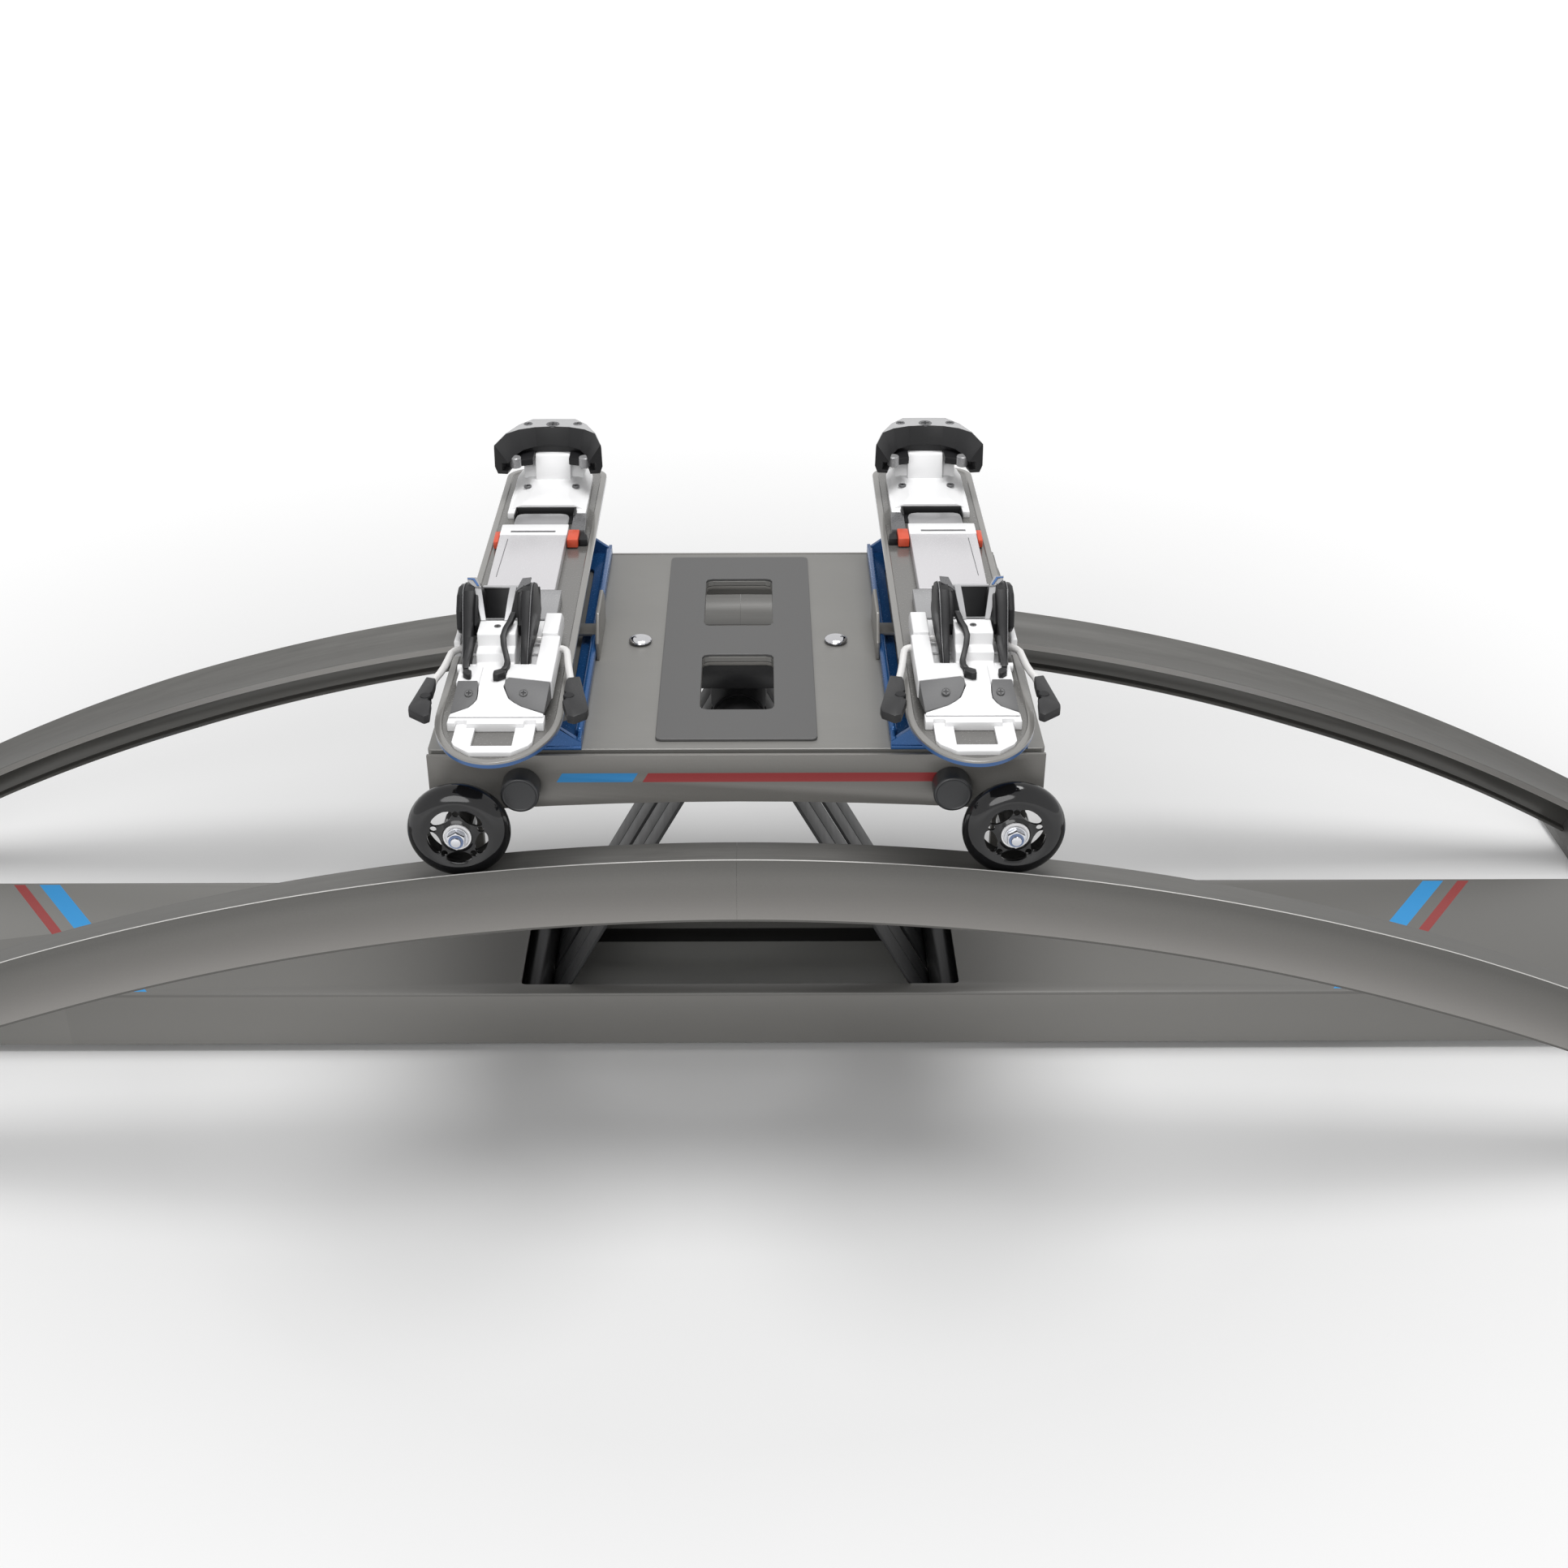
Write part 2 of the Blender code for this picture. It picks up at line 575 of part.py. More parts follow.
def window_cutters(low, high, grow=0.0):
    return [prism("window", rounded(WINDOW_HALF_X + grow, WINDOW_HALF_Y + grow, WINDOW_CORNER, 2,
                                    (0, side * WINDOW_Y)), low, high) for side in (-1, 1)]


def make_frame(paint, root):
    """Folded sheet with arched aprons, cross tubes, wheel brackets and studs, welded into one piece."""
    sheet_top = DECK_TOP - DECK_PLATE_THICK - GAP
    skirt_x = DECK_HALF_X - SHEET
    apron_y = DECK_HALF_Y - SHEET
    apron_top = DECK_TOP - APRON_TOP_DROP
    far = 0.010  # how far a cutter runs past what it cuts
    arch = [(DECK_HALF_X * t, APRON_MID_Z + (APRON_END_Z - APRON_MID_Z) * t * t)
            for t in (-1, -0.8, -0.6, -0.4, -0.2, 0, 0.2, 0.4, 0.6, 0.8, 1)]
    block = arch + [(DECK_HALF_X, apron_top), (-DECK_HALF_X, apron_top)]
    frame = prism("carriage_frame", block, -DECK_HALF_Y, DECK_HALF_Y, "Y")
    between = (-apron_y, apron_y)
    inside = box("inside", (-skirt_x, skirt_x), between, (APRON_END_Z - far, sheet_top - SHEET))
    seat = box("deck seat", (-DECK_HALF_X - far, DECK_HALF_X + far), between, (sheet_top, DECK_TOP + far))
    cut(frame, inside, seat)
    for hand in (-1, 1):
        x = sorted((hand * (skirt_x - 0.002), hand * (DECK_HALF_X + far)))
        cut(frame, box("below skirt", x, (-apron_y, apron_y), (APRON_END_Z - far, SKIRT_Z)))
    for hand in (-1, 1):
        middle = (hand * TUBE_X, 0, TUBE_Z)
        tube = rod("tube", TUBE_RADIUS, middle, -DECK_HALF_Y + 0.001, DECK_HALF_Y - 0.001, steps=14)
        join(frame, tube)
        bore = rod("bore", TUBE_BORE, middle, -DECK_HALF_Y - far, DECK_HALF_Y + far, steps=14)
        cut(frame, bore)
    cut(frame, *window_cutters(sheet_top - 0.01, sheet_top + 0.01))
    wx, wz = wheel_centre()
    rx, rz = roller_centre()
    for hand in (-1, 1):
        for side in (-1, 1):
            y = sorted((side * BRACKET_Y[0], side * BRACKET_Y[1]))
            half = BRACKET_WIDTH / 2
            low = rz - 0.012
            outline = [(hand * wx - half, sheet_top - 0.001), (hand * wx - half, rz + 0.010),
                       (hand * rx - half * 0.6, low), (hand * rx + half * 0.6, low),
                       (hand * wx + half, rz + 0.010), (hand * wx + half, sheet_top - 0.001)]
            join(frame, prism("bracket", outline, y[0], y[1], "Y"))
            # Stud, spacer and nut of the running wheel
            start, inner = BRACKET_Y[0] + 0.003, WHEEL_Y - WHEEL_WIDTH / 2 - GAP
            outer = WHEEL_Y + WHEEL_WIDTH / 2 + GAP
            profile = [(0, start), (0.009, start), (0.009, inner), (STUD_RADIUS, inner), (STUD_RADIUS, outer),
                       (NUT_RADIUS, outer), (NUT_RADIUS, outer + NUT_THICK), (0, outer + NUT_THICK)]
            stud = turned("stud", [(r, side * h) for r, h in profile], (hand * wx, 0, wz), 8)
            # Stud of the hold-down roller, with its shoulder and head
            inner, outer = ROLLER_Y - ROLLER_WIDTH / 2 - GAP, ROLLER_Y + ROLLER_WIDTH / 2 + GAP
            head = outer + 0.004
            profile = [(0, start), (0.0062, start), (0.0062, inner), (STUD_RADIUS, inner),
                       (STUD_RADIUS, outer), (NUT_RADIUS, outer), (NUT_RADIUS, head), (0, head)]
            low_stud = turned("stud", [(r, side * h) for r, h in profile], (hand * rx, 0, rz), 8)
            join(frame, stud, low_stud)
    finish(frame, paint, root)


def make_deck(brushed, panel_grey, chrome, plug_black, root):
    low = DECK_TOP - DECK_PLATE_THICK
    inset = SHEET + DECK_GROOVE
    deck = prism("deck_plate", rounded(DECK_HALF_X, DECK_HALF_Y - inset, 0.003, 2), low, DECK_TOP)
    cut(deck, *window_cutters(low - 0.01, DECK_TOP + 0.01))
    finish(deck, brushed, root)
    bottom = DECK_TOP + GAP
    panel = prism("centre_panel", rounded(PANEL_HALF_X, PANEL_HALF_Y, 0.004), bottom, bottom + PANEL_THICK)
    cut(panel, *window_cutters(bottom - 0.01, bottom + 0.02))
    finish(panel, panel_grey, root)
    for hand, word in ((-1, "left"), (1, "right")):
        dome = [(0, 0), (DOME_RADIUS, 0), (DOME_RADIUS, 0.001)]
        dome += [(DOME_RADIUS * math.cos(a), 0.001 + (DOME_HEIGHT - 0.001) * math.sin(a))
                 for a in (math.pi / 8, math.pi / 4, 3 * math.pi / 8)] + [(0, DOME_HEIGHT)]
        bolt = turned(f"dome_bolt_{word}", dome, (hand * DOME_X, 0, bottom), 12, "Z")
        finish(bolt, chrome, root)
        for side, end in ((-1, "front"), (1, "back")):
            face = DECK_HALF_Y + GAP
            r, s = PLUG_RADIUS, TUBE_BORE - GAP
            profile = [(0, face - PLUG_SPIGOT), (s, face - PLUG_SPIGOT), (s, face), (r, face),
                       (r, face + PLUG_STAND - 0.0015), (r - 0.0015, face + PLUG_STAND), (0, face + PLUG_STAND)]
            plug = turned(f"tube_plug_{end}_{word}", [(a, side * b) for a, b in profile],
                          (hand * TUBE_X, 0, TUBE_Z), 14)
            finish(plug, plug_black, root)


def make_spool(steel, black, root):
    """The hanger is a channel across the tubes with a web down to the spool's axle."""
    top = DECK_TOP - DECK_PLATE_THICK - SHEET - 2 * GAP
    half = TUBE_X - TUBE_RADIUS - CHANNEL_END_ROOM
    hanger = box("spool_hanger", (-half, half), (-CHANNEL_HALF_Y, CHANNEL_HALF_Y), (top - SHEET, top))
    for side in (-1, 1):
        y = sorted((side * CHANNEL_HALF_Y, side * (CHANNEL_HALF_Y - SHEET)))
        join(hanger, box("flange", (-half, half), y, (top - CHANNEL_DEPTH, top)))
    web_low = SPOOL_Z - 0.012
    w = HANGER_HALF_X
    web = [(-w, top - 0.001), (-w, SPOOL_Z + 0.016), (-w * 0.55, web_low), (w * 0.55, web_low),
           (w, SPOOL_Z + 0.016), (w, top - 0.001)]
    neck = SPOOL_NECK - GAP
    join(hanger, prism("web", web, -neck, neck, "Y"))
    cut(hanger, rod("bore", SPOOL_AXLE_RADIUS + BORE_GAP, (0, 0, SPOOL_Z), -0.02, 0.02, steps=20))
    finish(hanger, steel, root)
    # Each half of the spool has three flanges and two grooves.
    ends = SPOOL_HALF_LENGTH
    groove, flange, axle = SPOOL_GROOVE_RADIUS, SPOOL_FLANGE_RADIUS, SPOOL_AXLE_RADIUS
    half_band = BAND_WIDTH / 2 + GAP
    profile = [(axle, SPOOL_NECK), (flange, SPOOL_NECK)]
    for centre in BAND_CENTRES[2:]:
        low, high = centre - half_band, centre + half_band
        profile += [(flange, low), (groove, low), (groove, high), (flange, high)]
    profile += [(flange, ends), (axle, ends), (axle, ends + 0.004), (0, ends + 0.004)]
    whole = [(r, -h) for r, h in reversed(profile)] + profile
    spool = turned("band_spool", whole, (0, 0, SPOOL_Z), 14)
    finish(spool, black, root, pivot=(0, 0, SPOOL_Z))


def tyre_profile():
    """Half of the wheel's section from the hub out, round over the tread and back, as (radius, height)."""
    half = WHEEL_WIDTH / 2
    arc = [(WHEEL_RADIUS - half * 1.15 + half * 1.15 * math.sin(a), -half * math.cos(a))
           for a in (math.pi * i / 7 for i in range(1, 7))]
    web = [(WHEEL_BORE, half), (BEARING_RADIUS, half), (BEARING_RADIUS + 0.002, half - HUB_DISH),
           (HUB_RADIUS - 0.002, half - HUB_DISH), (HUB_RADIUS, half - 0.001)]
    return [(r, -h) for r, h in web] + arc + web[::-1]


def make_wheels(black, steel, root):
    wx, wz = wheel_centre()
    rx, rz = roller_centre()
    for hand, word in ((-1, "left"), (1, "right")):
        for side, end in ((-1, "front"), (1, "back")):
            centre = (hand * wx, side * WHEEL_Y, wz)
            wheel = turned(f"wheel_{end}_{word}", tyre_profile(), centre, 18)
            for i in range(WHEEL_SPOKES):
                angle = -math.pi / 2 + 2 * math.pi * i / WHEEL_SPOKES
                reach = SPOKE_REACH
                oval = []
                for j in range(8):
                    t = 2 * math.pi * j / 8
                    u, v = SPOKE_OPENING[0] * math.cos(t), SPOKE_OPENING[1] * math.sin(t)
                    oval.append((centre[0] + (reach + v) * math.cos(angle) - u * math.sin(angle),
                                 centre[2] + (reach + v) * math.sin(angle) + u * math.cos(angle)))
                cut(wheel, prism("oval", oval, centre[1] - 0.02, centre[1] + 0.02, "Y"))
            finish(wheel, black, root, pivot=centre)
            centre = (hand * rx, side * ROLLER_Y, rz)
            h, r = ROLLER_WIDTH / 2, ROLLER_RADIUS
            profile = [(STUD_RADIUS + BORE_GAP, -h), (r, -h), (r, h), (STUD_RADIUS + BORE_GAP, h)]
            roller = turned(f"hold_down_roller_{end}_{word}", profile, centre, 14)
            finish(roller, steel, root, pivot=centre)


# Tilt brackets, straps and ski plates

def make_tilt_bracket(hand, word, blue, grey, root):
    """A base plate with side ribs, and a triangular gusset at each end that carries the ski's pin."""
    cx = hand * SKI_X
    low = DECK_TOP + GAP
    half = TILT_HALF_WIDTH
    reach = TILT_HALF_LENGTH - 0.001
    bracket = box(f"tilt_bracket_{word}", (cx - half, cx + half), (-reach, reach), (low, low + TILT_PLATE))
    # Two long slots leave side rails and a middle rib.
    for side in (-1, 1):
        slot = rounded(0.015, 0.150, 0.006, 2, (cx + side * 0.024, 0))
        cut(bracket, prism("slot", slot, low - 0.01, low + 0.02))
    for x in (-half, -0.002, half - TILT_PLATE):
        rib = (cx + x, cx + x + (0.004 if x == -0.002 else TILT_PLATE))
        join(bracket, box("rib", rib, (-GUSSET_Y + 0.001, GUSSET_Y - 0.001), (low + 0.001, low + 0.010)))
    for side in (-1, 1):
        y = sorted((side * GUSSET_Y, side * (GUSSET_Y - GUSSET_THICK)))
        shoulder = low + 0.006
        crown = [(cx + PIVOT_RADIUS * math.cos(a), PIVOT_Z + PIVOT_RADIUS * math.sin(a))
                 for a in (math.pi * i / 8 for i in range(9))]
        gusset = [(cx - half, low + 0.001), (cx + half, low + 0.001), (cx + half, shoulder)] + crown
        gusset.append((cx - half, shoulder))
        plate = prism("gusset", gusset, y[0], y[1], "Y")
        boss = rod("boss", PIVOT_RADIUS - 0.001, (cx, 0, PIVOT_Z), side * (GUSSET_Y - GUSSET_THICK / 2),
                   side * (GUSSET_Y + BOSS_STAND), steps=14)
        join(bracket, plate, boss)
        cut(bracket, rod("bore", PIN_RADIUS + BORE_GAP, (cx, 0, PIVOT_Z), y[0] - 0.01, y[1] + 0.01, steps=12))
    finish(bracket, blue, root)
    # The strap ties the ribs together at the middle and ends in an upright lug on the inboard side.
    rib_top = low + 0.010 + GAP
    inboard = cx - hand * (half + GAP)
    outer = cx + hand * half
    across = sorted((inboard - hand * FIN_THICK, outer))
    strap = box(f"cross_strap_{word}", across, (-STRAP_HALF_Y, STRAP_HALF_Y), (rib_top, rib_top + STRAP_THICK))
    fin_y = [(-0.035, DECK_TOP + GAP), (0.045, DECK_TOP + GAP), (0.045, FIN_TOP - 0.012), (0.030, FIN_TOP),
             (-0.018, FIN_TOP), (-0.035, FIN_TOP - 0.020)]
    x = sorted((inboard, inboard - hand * FIN_THICK))
    join(strap, prism("fin", fin_y, x[0], x[1], "X"))
    finish(strap, grey, root)


def ski_outline(cx, inset=0.0):
    """Plan of a ski plate: a half ellipse at the near end, small chamfered corners at the far end."""
    half = SKI_HALF_WIDTH - inset
    near, far = SKI_NEAR + inset, SKI_FAR - inset
    reach = 0.075
    points = [(cx + half * math.cos(a), near + reach - inset * 0.3 + (reach - inset * 0.3) * math.sin(a))
              for a in (math.pi + math.pi * i / 12 for i in range(13))]
    corner = 0.020
    points += [(cx + half, far - corner)]
    points += [(cx + half - corner + corner * math.cos(a), far - corner + corner * math.sin(a))
               for a in (math.pi / 6, math.pi / 3, math.pi / 2)]
    points += [(cx - half + corner - corner * math.cos(a), far - corner + corner * math.sin(a))
               for a in (math.pi / 2, math.pi / 3, math.pi / 6, 0)]
    return points


def make_ski(hand, word, grey, parent):
    cx = hand * SKI_X
    low = SKI_TOP - SKI_THICK
    ski = prism(f"ski_plate_{word}", ski_outline(cx), low, SKI_TOP)
    bevel_edges(ski, 0.0015, lambda m, d: abs(d.z) < 0.1, 1)
    cut(ski, prism("recess", ski_outline(cx, SKI_RIM), SKI_TOP - SKI_RECESS, SKI_TOP + 0.01))
    # A hinge lug inside each gusset, with the pin that turns in the gusset's boss.
    for side in (-1, 1):
        inner = GUSSET_Y - GUSSET_THICK - GAP
        y = sorted((side * inner, side * (inner - LUG_THICK)))
        w = LUG_HALF_X
        outline = [(cx - w, low + 0.002), (cx - w, low - 0.004), (cx - 0.008, PIVOT_Z - 0.007),
                   (cx + 0.008, PIVOT_Z - 0.007), (cx + w, low - 0.004), (cx + w, low + 0.002)]
        pin = rod("pin", PIN_RADIUS, (cx, 0, PIVOT_Z), side * (inner - LUG_THICK / 2),
                  side * (GUSSET_Y + BOSS_STAND - GAP), steps=12)
        join(ski, prism("lug", outline, y[0], y[1], "Y"), pin)
    finish(ski, grey, parent, pivot=(cx, 0, PIVOT_Z))


# Bindings

def make_toe(hand, word, white, dark, parent, pivot):
    cx = hand * SKI_X
    floor = SKI_TOP - SKI_RECESS + GAP
    y0, y1 = TOE_BASE_Y
    w, n = TOE_BASE_HALF_X, TONGUE_HALF_X + TONGUE_SLOT_ROOM
    slot = TOE_SLOT_END_Y
    half_plan = [(n, slot), (n, y0), (w, y0), (w, y0 + 0.034), (w - 0.004, y0 + 0.070),
                 (w - 0.009, y0 + 0.098), (w - 0.009, y1 - 0.003), (w - 0.012, y1)]
    plan = half_plan + mirrored_x(half_plan)
    base = prism(f"toe_base_{word}", [(cx + x, y) for x, y in plan], floor, floor + TOE_BASE_THICK)
    bevel_edges(base, 0.0012, lambda m, d: m.z > floor + TOE_BASE_THICK - 0.0005 and abs(d.z) < 0.1)
    finish(base, white, parent, pivot=pivot)
    # The head is a horseshoe whose wings come forward round the boot's toe, on a short body.
    low, high = TOE_WING_Z
    tip, stop, back = WING_TIP_Y, TOE_STOP_Y, TOE_BACK_Y
    w, t = TOE_WING_HALF_X, WING_THICK
    inner = [(w - t, tip), (w - t - 0.004, tip + 0.020), (0.028, stop - 0.010), (0.012, stop)]
    outer = [(0.014, back), (0.030, back - 0.010), (w - 0.006, back - 0.033), (w, back - 0.058), (w, tip)]
    half_plan = outer + inner
    horseshoe = half_plan + [(-x, y) for x, y in reversed(half_plan)]
    head = prism(f"toe_head_{word}", [(cx + x, y) for x, y in horseshoe], low, high)
    bevel_edges(head, 0.003, lambda m, d: m.z > high - 0.0005 and abs(d.z) < 0.1)
    seat = floor + TOE_BASE_THICK + GAP
    body = [(-0.022, stop + 0.003), (0.022, stop + 0.003), (0.024, stop + 0.014), (0.018, back - 0.004),
            (-0.018, back - 0.004), (-0.024, stop + 0.014)]
    lower = prism("body", [(cx + x, y) for x, y in body], seat, low + 0.004)
    cap = [(0.011, stop + 0.004), (0.026, stop - 0.005), (w - t - 0.002, tip + 0.030),
           (w - 0.003, tip + 0.024), (w - 0.008, back - 0.034), (0.029, back - 0.012), (0.013, back - 0.003)]
    plan = cap + [(-x, y) for x, y in reversed(cap)]
    lid = prism("cap", [(cx + x, y) for x, y in plan], high - 0.002, TOE_TOP)
    bevel_edges(lid, 0.0015, lambda m, d: m.z > TOE_TOP - 0.0005 and abs(d.z) < 0.1)
    join(head, lower, lid)
    finish(head, dark, parent, pivot=pivot)


def make_glide(hand, word, white, parent, pivot):
    cx = hand * SKI_X
    floor = SKI_TOP - SKI_RECESS + GAP
    y0, y1 = GLIDE_Y
    mid, half = (y0 + y1) / 2, (y1 - y0) / 2
    top = floor + GLIDE_THICK
    glide = prism(f"glide_plate_{word}", rounded(GLIDE_HALF_X, half, 0.003, 2, (cx, mid)), floor, top)
    bevel_edges(glide, 0.0015, lambda m, d: m.z > top - 0.0005 and abs(d.z) < 0.1)
    cut(glide, prism("recess", rounded(GLIDE_HALF_X - 0.006, half - 0.010, 0.003, 2, (cx, mid - 0.002)),
                     top - 0.0015, top + 0.01))
    end = y1 + GLIDE_TONGUE
    t = TONGUE_HALF_X
    tongue = [(-t, y1 - 0.010), (t, y1 - 0.010), (t, end - 0.008), (t - 0.003, end - 0.002), (t - 0.009, end),
              (-t + 0.009, end), (-t + 0.003, end - 0.002), (-t, end - 0.008)]
    join(glide, prism("tongue", [(cx + x, y) for x, y in tongue], floor + 0.001, top - 0.003))
    finish(glide, white, parent, pivot=pivot)


def make_heel(hand, word, white, dark, parent, pivot):
    ski_x = hand * SKI_X
    cx = ski_x + hand * HEEL_OFFSET
    floor = SKI_TOP - SKI_RECESS + GAP
    y0, y1 = HEEL_TRACK_Y
    w, waist = HEEL_TRACK_HALF_X, HEEL_WAIST_HALF_X
    # Plan of the track: a chamfered tail, wings, a narrow waist and the long front
    plan = [(w / 2, y0), (w - 0.003, y0 + 0.010), (w - 0.001, y0 + 0.016), (w - 0.001, y0 + 0.038),
            (w + 0.006, y0 + 0.039), (w + 0.006, y0 + 0.054), (waist + 0.008, y0 + 0.064),
            (waist + 0.0015, y0 + 0.076), (waist, y0 + 0.089), (waist + 0.001, y0 + 0.108),
            (w - 0.003, y0 + 0.116), (w, y0 + 0.124), (w, y1)]
    plan += [(-x, y) for x, y in reversed(plan)]
    track = prism(f"heel_track_{word}", [(ski_x + x, y) for x, y in plan], floor, floor + HEEL_TRACK_THICK)
    bevel_edges(track, 0.001, lambda m, d: m.z > floor + HEEL_TRACK_THICK - 0.0005 and abs(d.z) < 0.1)
    tail = box("tail", (ski_x - 0.04, ski_x + 0.04), (y0 - 0.01, y0 + 0.0385),
               (floor + HEEL_TAIL_THICK, floor + 0.03))
    window = box("window", (ski_x - w / 2, ski_x + w / 2), HEEL_WINDOW_Y, (floor - 0.01, floor + 0.03))
    cut(track, tail, window)
    finish(track, white, parent, pivot=pivot)
    # The housing steps down behind its top and slides along the track.
    seat = floor + HEEL_TRACK_THICK + GAP
    h0, h1 = HOUSING_Y
    top, step, hx = HOUSING_TOP, HOUSING_STEP, HOUSING_HALF_X
    side = [(h1, seat), (h1, seat + 0.008), (h1 - 0.015, seat + 0.014), (h1 - 0.027, top - 0.0005),
            (h1 - 0.052, top), (h1 - 0.0525, top - step), (h1 - 0.064, top - step - 0.0005),
            (h1 - 0.0645, top - 2 * step + 0.002), (h0 + 0.003, top - 2 * step + 0.0015),
            (h0, top - 2 * step - 0.004), (h0, seat)]
    housing = prism(f"heel_housing_{word}", side, cx - hx, cx + hx, "X")
    # A web under the arms ties the block to a box on the inboard side and a lug on the outboard side.
    b0, b1 = SIDE_BOX_X
    py, pz = BRAKE_PIVOT_Y, BRAKE_PIVOT_Z
    bar = BRAKE_WIRE
    web_top = pz - bar - 0.0015
    web_x = sorted((ski_x - hand * (b0 + 0.003), ski_x + hand * (LUG_X[0] + 0.002)))
    web = box("web", web_x, (py - 0.014, py + 0.014), (seat, web_top))
    inboard = sorted((ski_x - hand * b0, ski_x - hand * b1))
    side_box = box("side box", inboard, SIDE_BOX_Y, (seat, SIDE_BOX_TOP))
    bevel_edges(side_box, 0.002, lambda m, d: m.z > SIDE_BOX_TOP - 0.0005 and abs(d.z) < 0.1)
    outboard = sorted((ski_x + hand * LUG_X[0], ski_x + hand * LUG_X[1]))
    lug = box("lug", outboard, (py - 0.011, py + 0.011), (seat, pz + bar + 0.004))
    # A ramp on either side of the housing's neck runs down to the tail.
    ramp = [(h0 + 0.002, seat), (h0 + 0.002, SIDE_BOX_TOP - 0.004), (SIDE_BOX_Y[0], SIDE_BOX_TOP - 0.004),
            (RAMP_END_Y, seat + 0.0015), (RAMP_END_Y, seat)]
    ramps = prism("ramps", ramp, ski_x - RAMP_HALF_X, ski_x + RAMP_HALF_X, "X")
    axle_reach = ARM_OUTER_X - 0.0015
    axle = rod("axle", CUP_AXLE_RADIUS, (cx, CUP_PIVOT_Y, CUP_PIVOT_Z), -axle_reach, axle_reach, "X", 14)
    join(housing, web, side_box, lug, axle, ramps)
    cut(housing, rod("bore", bar + BORE_GAP, (ski_x, py, pz), -0.06, 0.06, "X", 12))
    slide = empty(f"heel_slide_{word}", (cx, (h0 + h1) / 2, seat))
    slide.parent = parent
    slide.matrix_parent_inverse = Matrix.Translation(parent.location).inverted()
    finish(housing, white, slide, pivot=slide.location)
    # Two tall arms turn on the axle, joined by the heel stop in front and the lever bar on top.
    inner, outer = ARM_INNER_X, ARM_OUTER_X
    p, q, front, peak = CUP_PIVOT_Y, CUP_PIVOT_Z, CUP_FRONT_Y, CUP_TOP
    arm = [(p - 0.0048, q - 0.0050), (p + 0.001, q - 0.0066), (p + 0.010, q + 0.001), (p + 0.021, q + 0.005),
           (front - 0.021, q + 0.005), (front - 0.004, q + 0.012), (front, q + 0.026),
           (front - 0.008, peak - 0.007), (front - 0.022, peak), (front - 0.046, peak - 0.001),
           (front - 0.062, peak - 0.013), (p + 0.015, q + 0.018), (p - 0.006, q + 0.007)]
    cup = prism(f"heel_cup_{word}", arm, cx + inner, cx + outer, "X")
    twin = prism("arm", arm, cx - outer, cx - inner, "X")
    for piece in (cup, twin):
        bevel_edges(piece, 0.0015, lambda m, d: abs(d.x) < 0.1 and m.z > q + 0.012)
    stop = [(front - 0.018, q + 0.010), (front - 0.004, q + 0.012), (front, q + 0.026),
            (front - 0.006, q + 0.036), (front - 0.014, q + 0.036), (front - 0.010, q + 0.024)]
    lever = [(front - 0.044, peak - 0.010), (front - 0.024, peak - 0.010), (front - 0.022, peak - 0.002),
             (front - 0.044, peak - 0.003)]
    join(cup, twin, prism("stop", stop, cx - inner - 0.002, cx + inner + 0.002, "X"),
         prism("lever", lever, cx - inner - 0.002, cx + inner + 0.002, "X"))
    through = axle_reach + GAP
    cut(cup, rod("bore", CUP_AXLE_RADIUS + BORE_GAP, (cx, p, q), -through, through, "X", 14))
    finish(cup, dark, slide, pivot=(cx, p, q))
    return slide


def make_brake(hand, word, wire_metal, slide):
    """A bar through the housing, with a wire arm on each side that runs back to its pad."""
    cx = hand * SKI_X
    y, z, wire = BRAKE_PIVOT_Y, BRAKE_PIVOT_Z, BRAKE_WIRE
    x0, x1 = BRAKE_PAD_X
    y0, y1 = BRAKE_PAD_Y
    ends = {hand: LUG_X[1] + GAP + wire, -hand: SIDE_BOX_X[1] + GAP + wire}
    reach = sorted(s * (ends[s] + wire * 0.6) for s in (-1, 1))
    brake = rod(f"ski_brake_{word}", wire, (cx, y, z), reach[0], reach[1], "X", 10)
    for s in (-1, 1):
        start = ends[s]
        route = [(start, y + wire), (start, y - 0.006), (max(start + 0.001, 0.0450), y - 0.026),
                 (x0 + 0.004, y1 + 0.004), (x0 + 0.006, y1 - 0.012)]
        left = [(cx + s * (x - wire), v) for x, v in route]
        right = [(cx + s * (x + wire), v) for x, v in route]
        arm = prism("arm", left + right[::-1], z - wire * 0.9, z + wire * 0.9)
        plan = [(x0, y1 - 0.004), (x0 + 0.003, y1), (x0 + 0.013, y1 + 0.001), (x1 + 0.002, y0 + 0.010),
                (x1 - 0.003, y0), (x0 + 0.004, y0)]
        pad = prism("pad", [(cx + s * x, v) for x, v in plan], BRAKE_PAD_Z[0], BRAKE_PAD_Z[1])
        join(brake, arm, pad)
    finish(brake, wire_metal, slide, pivot=(cx, y, z))


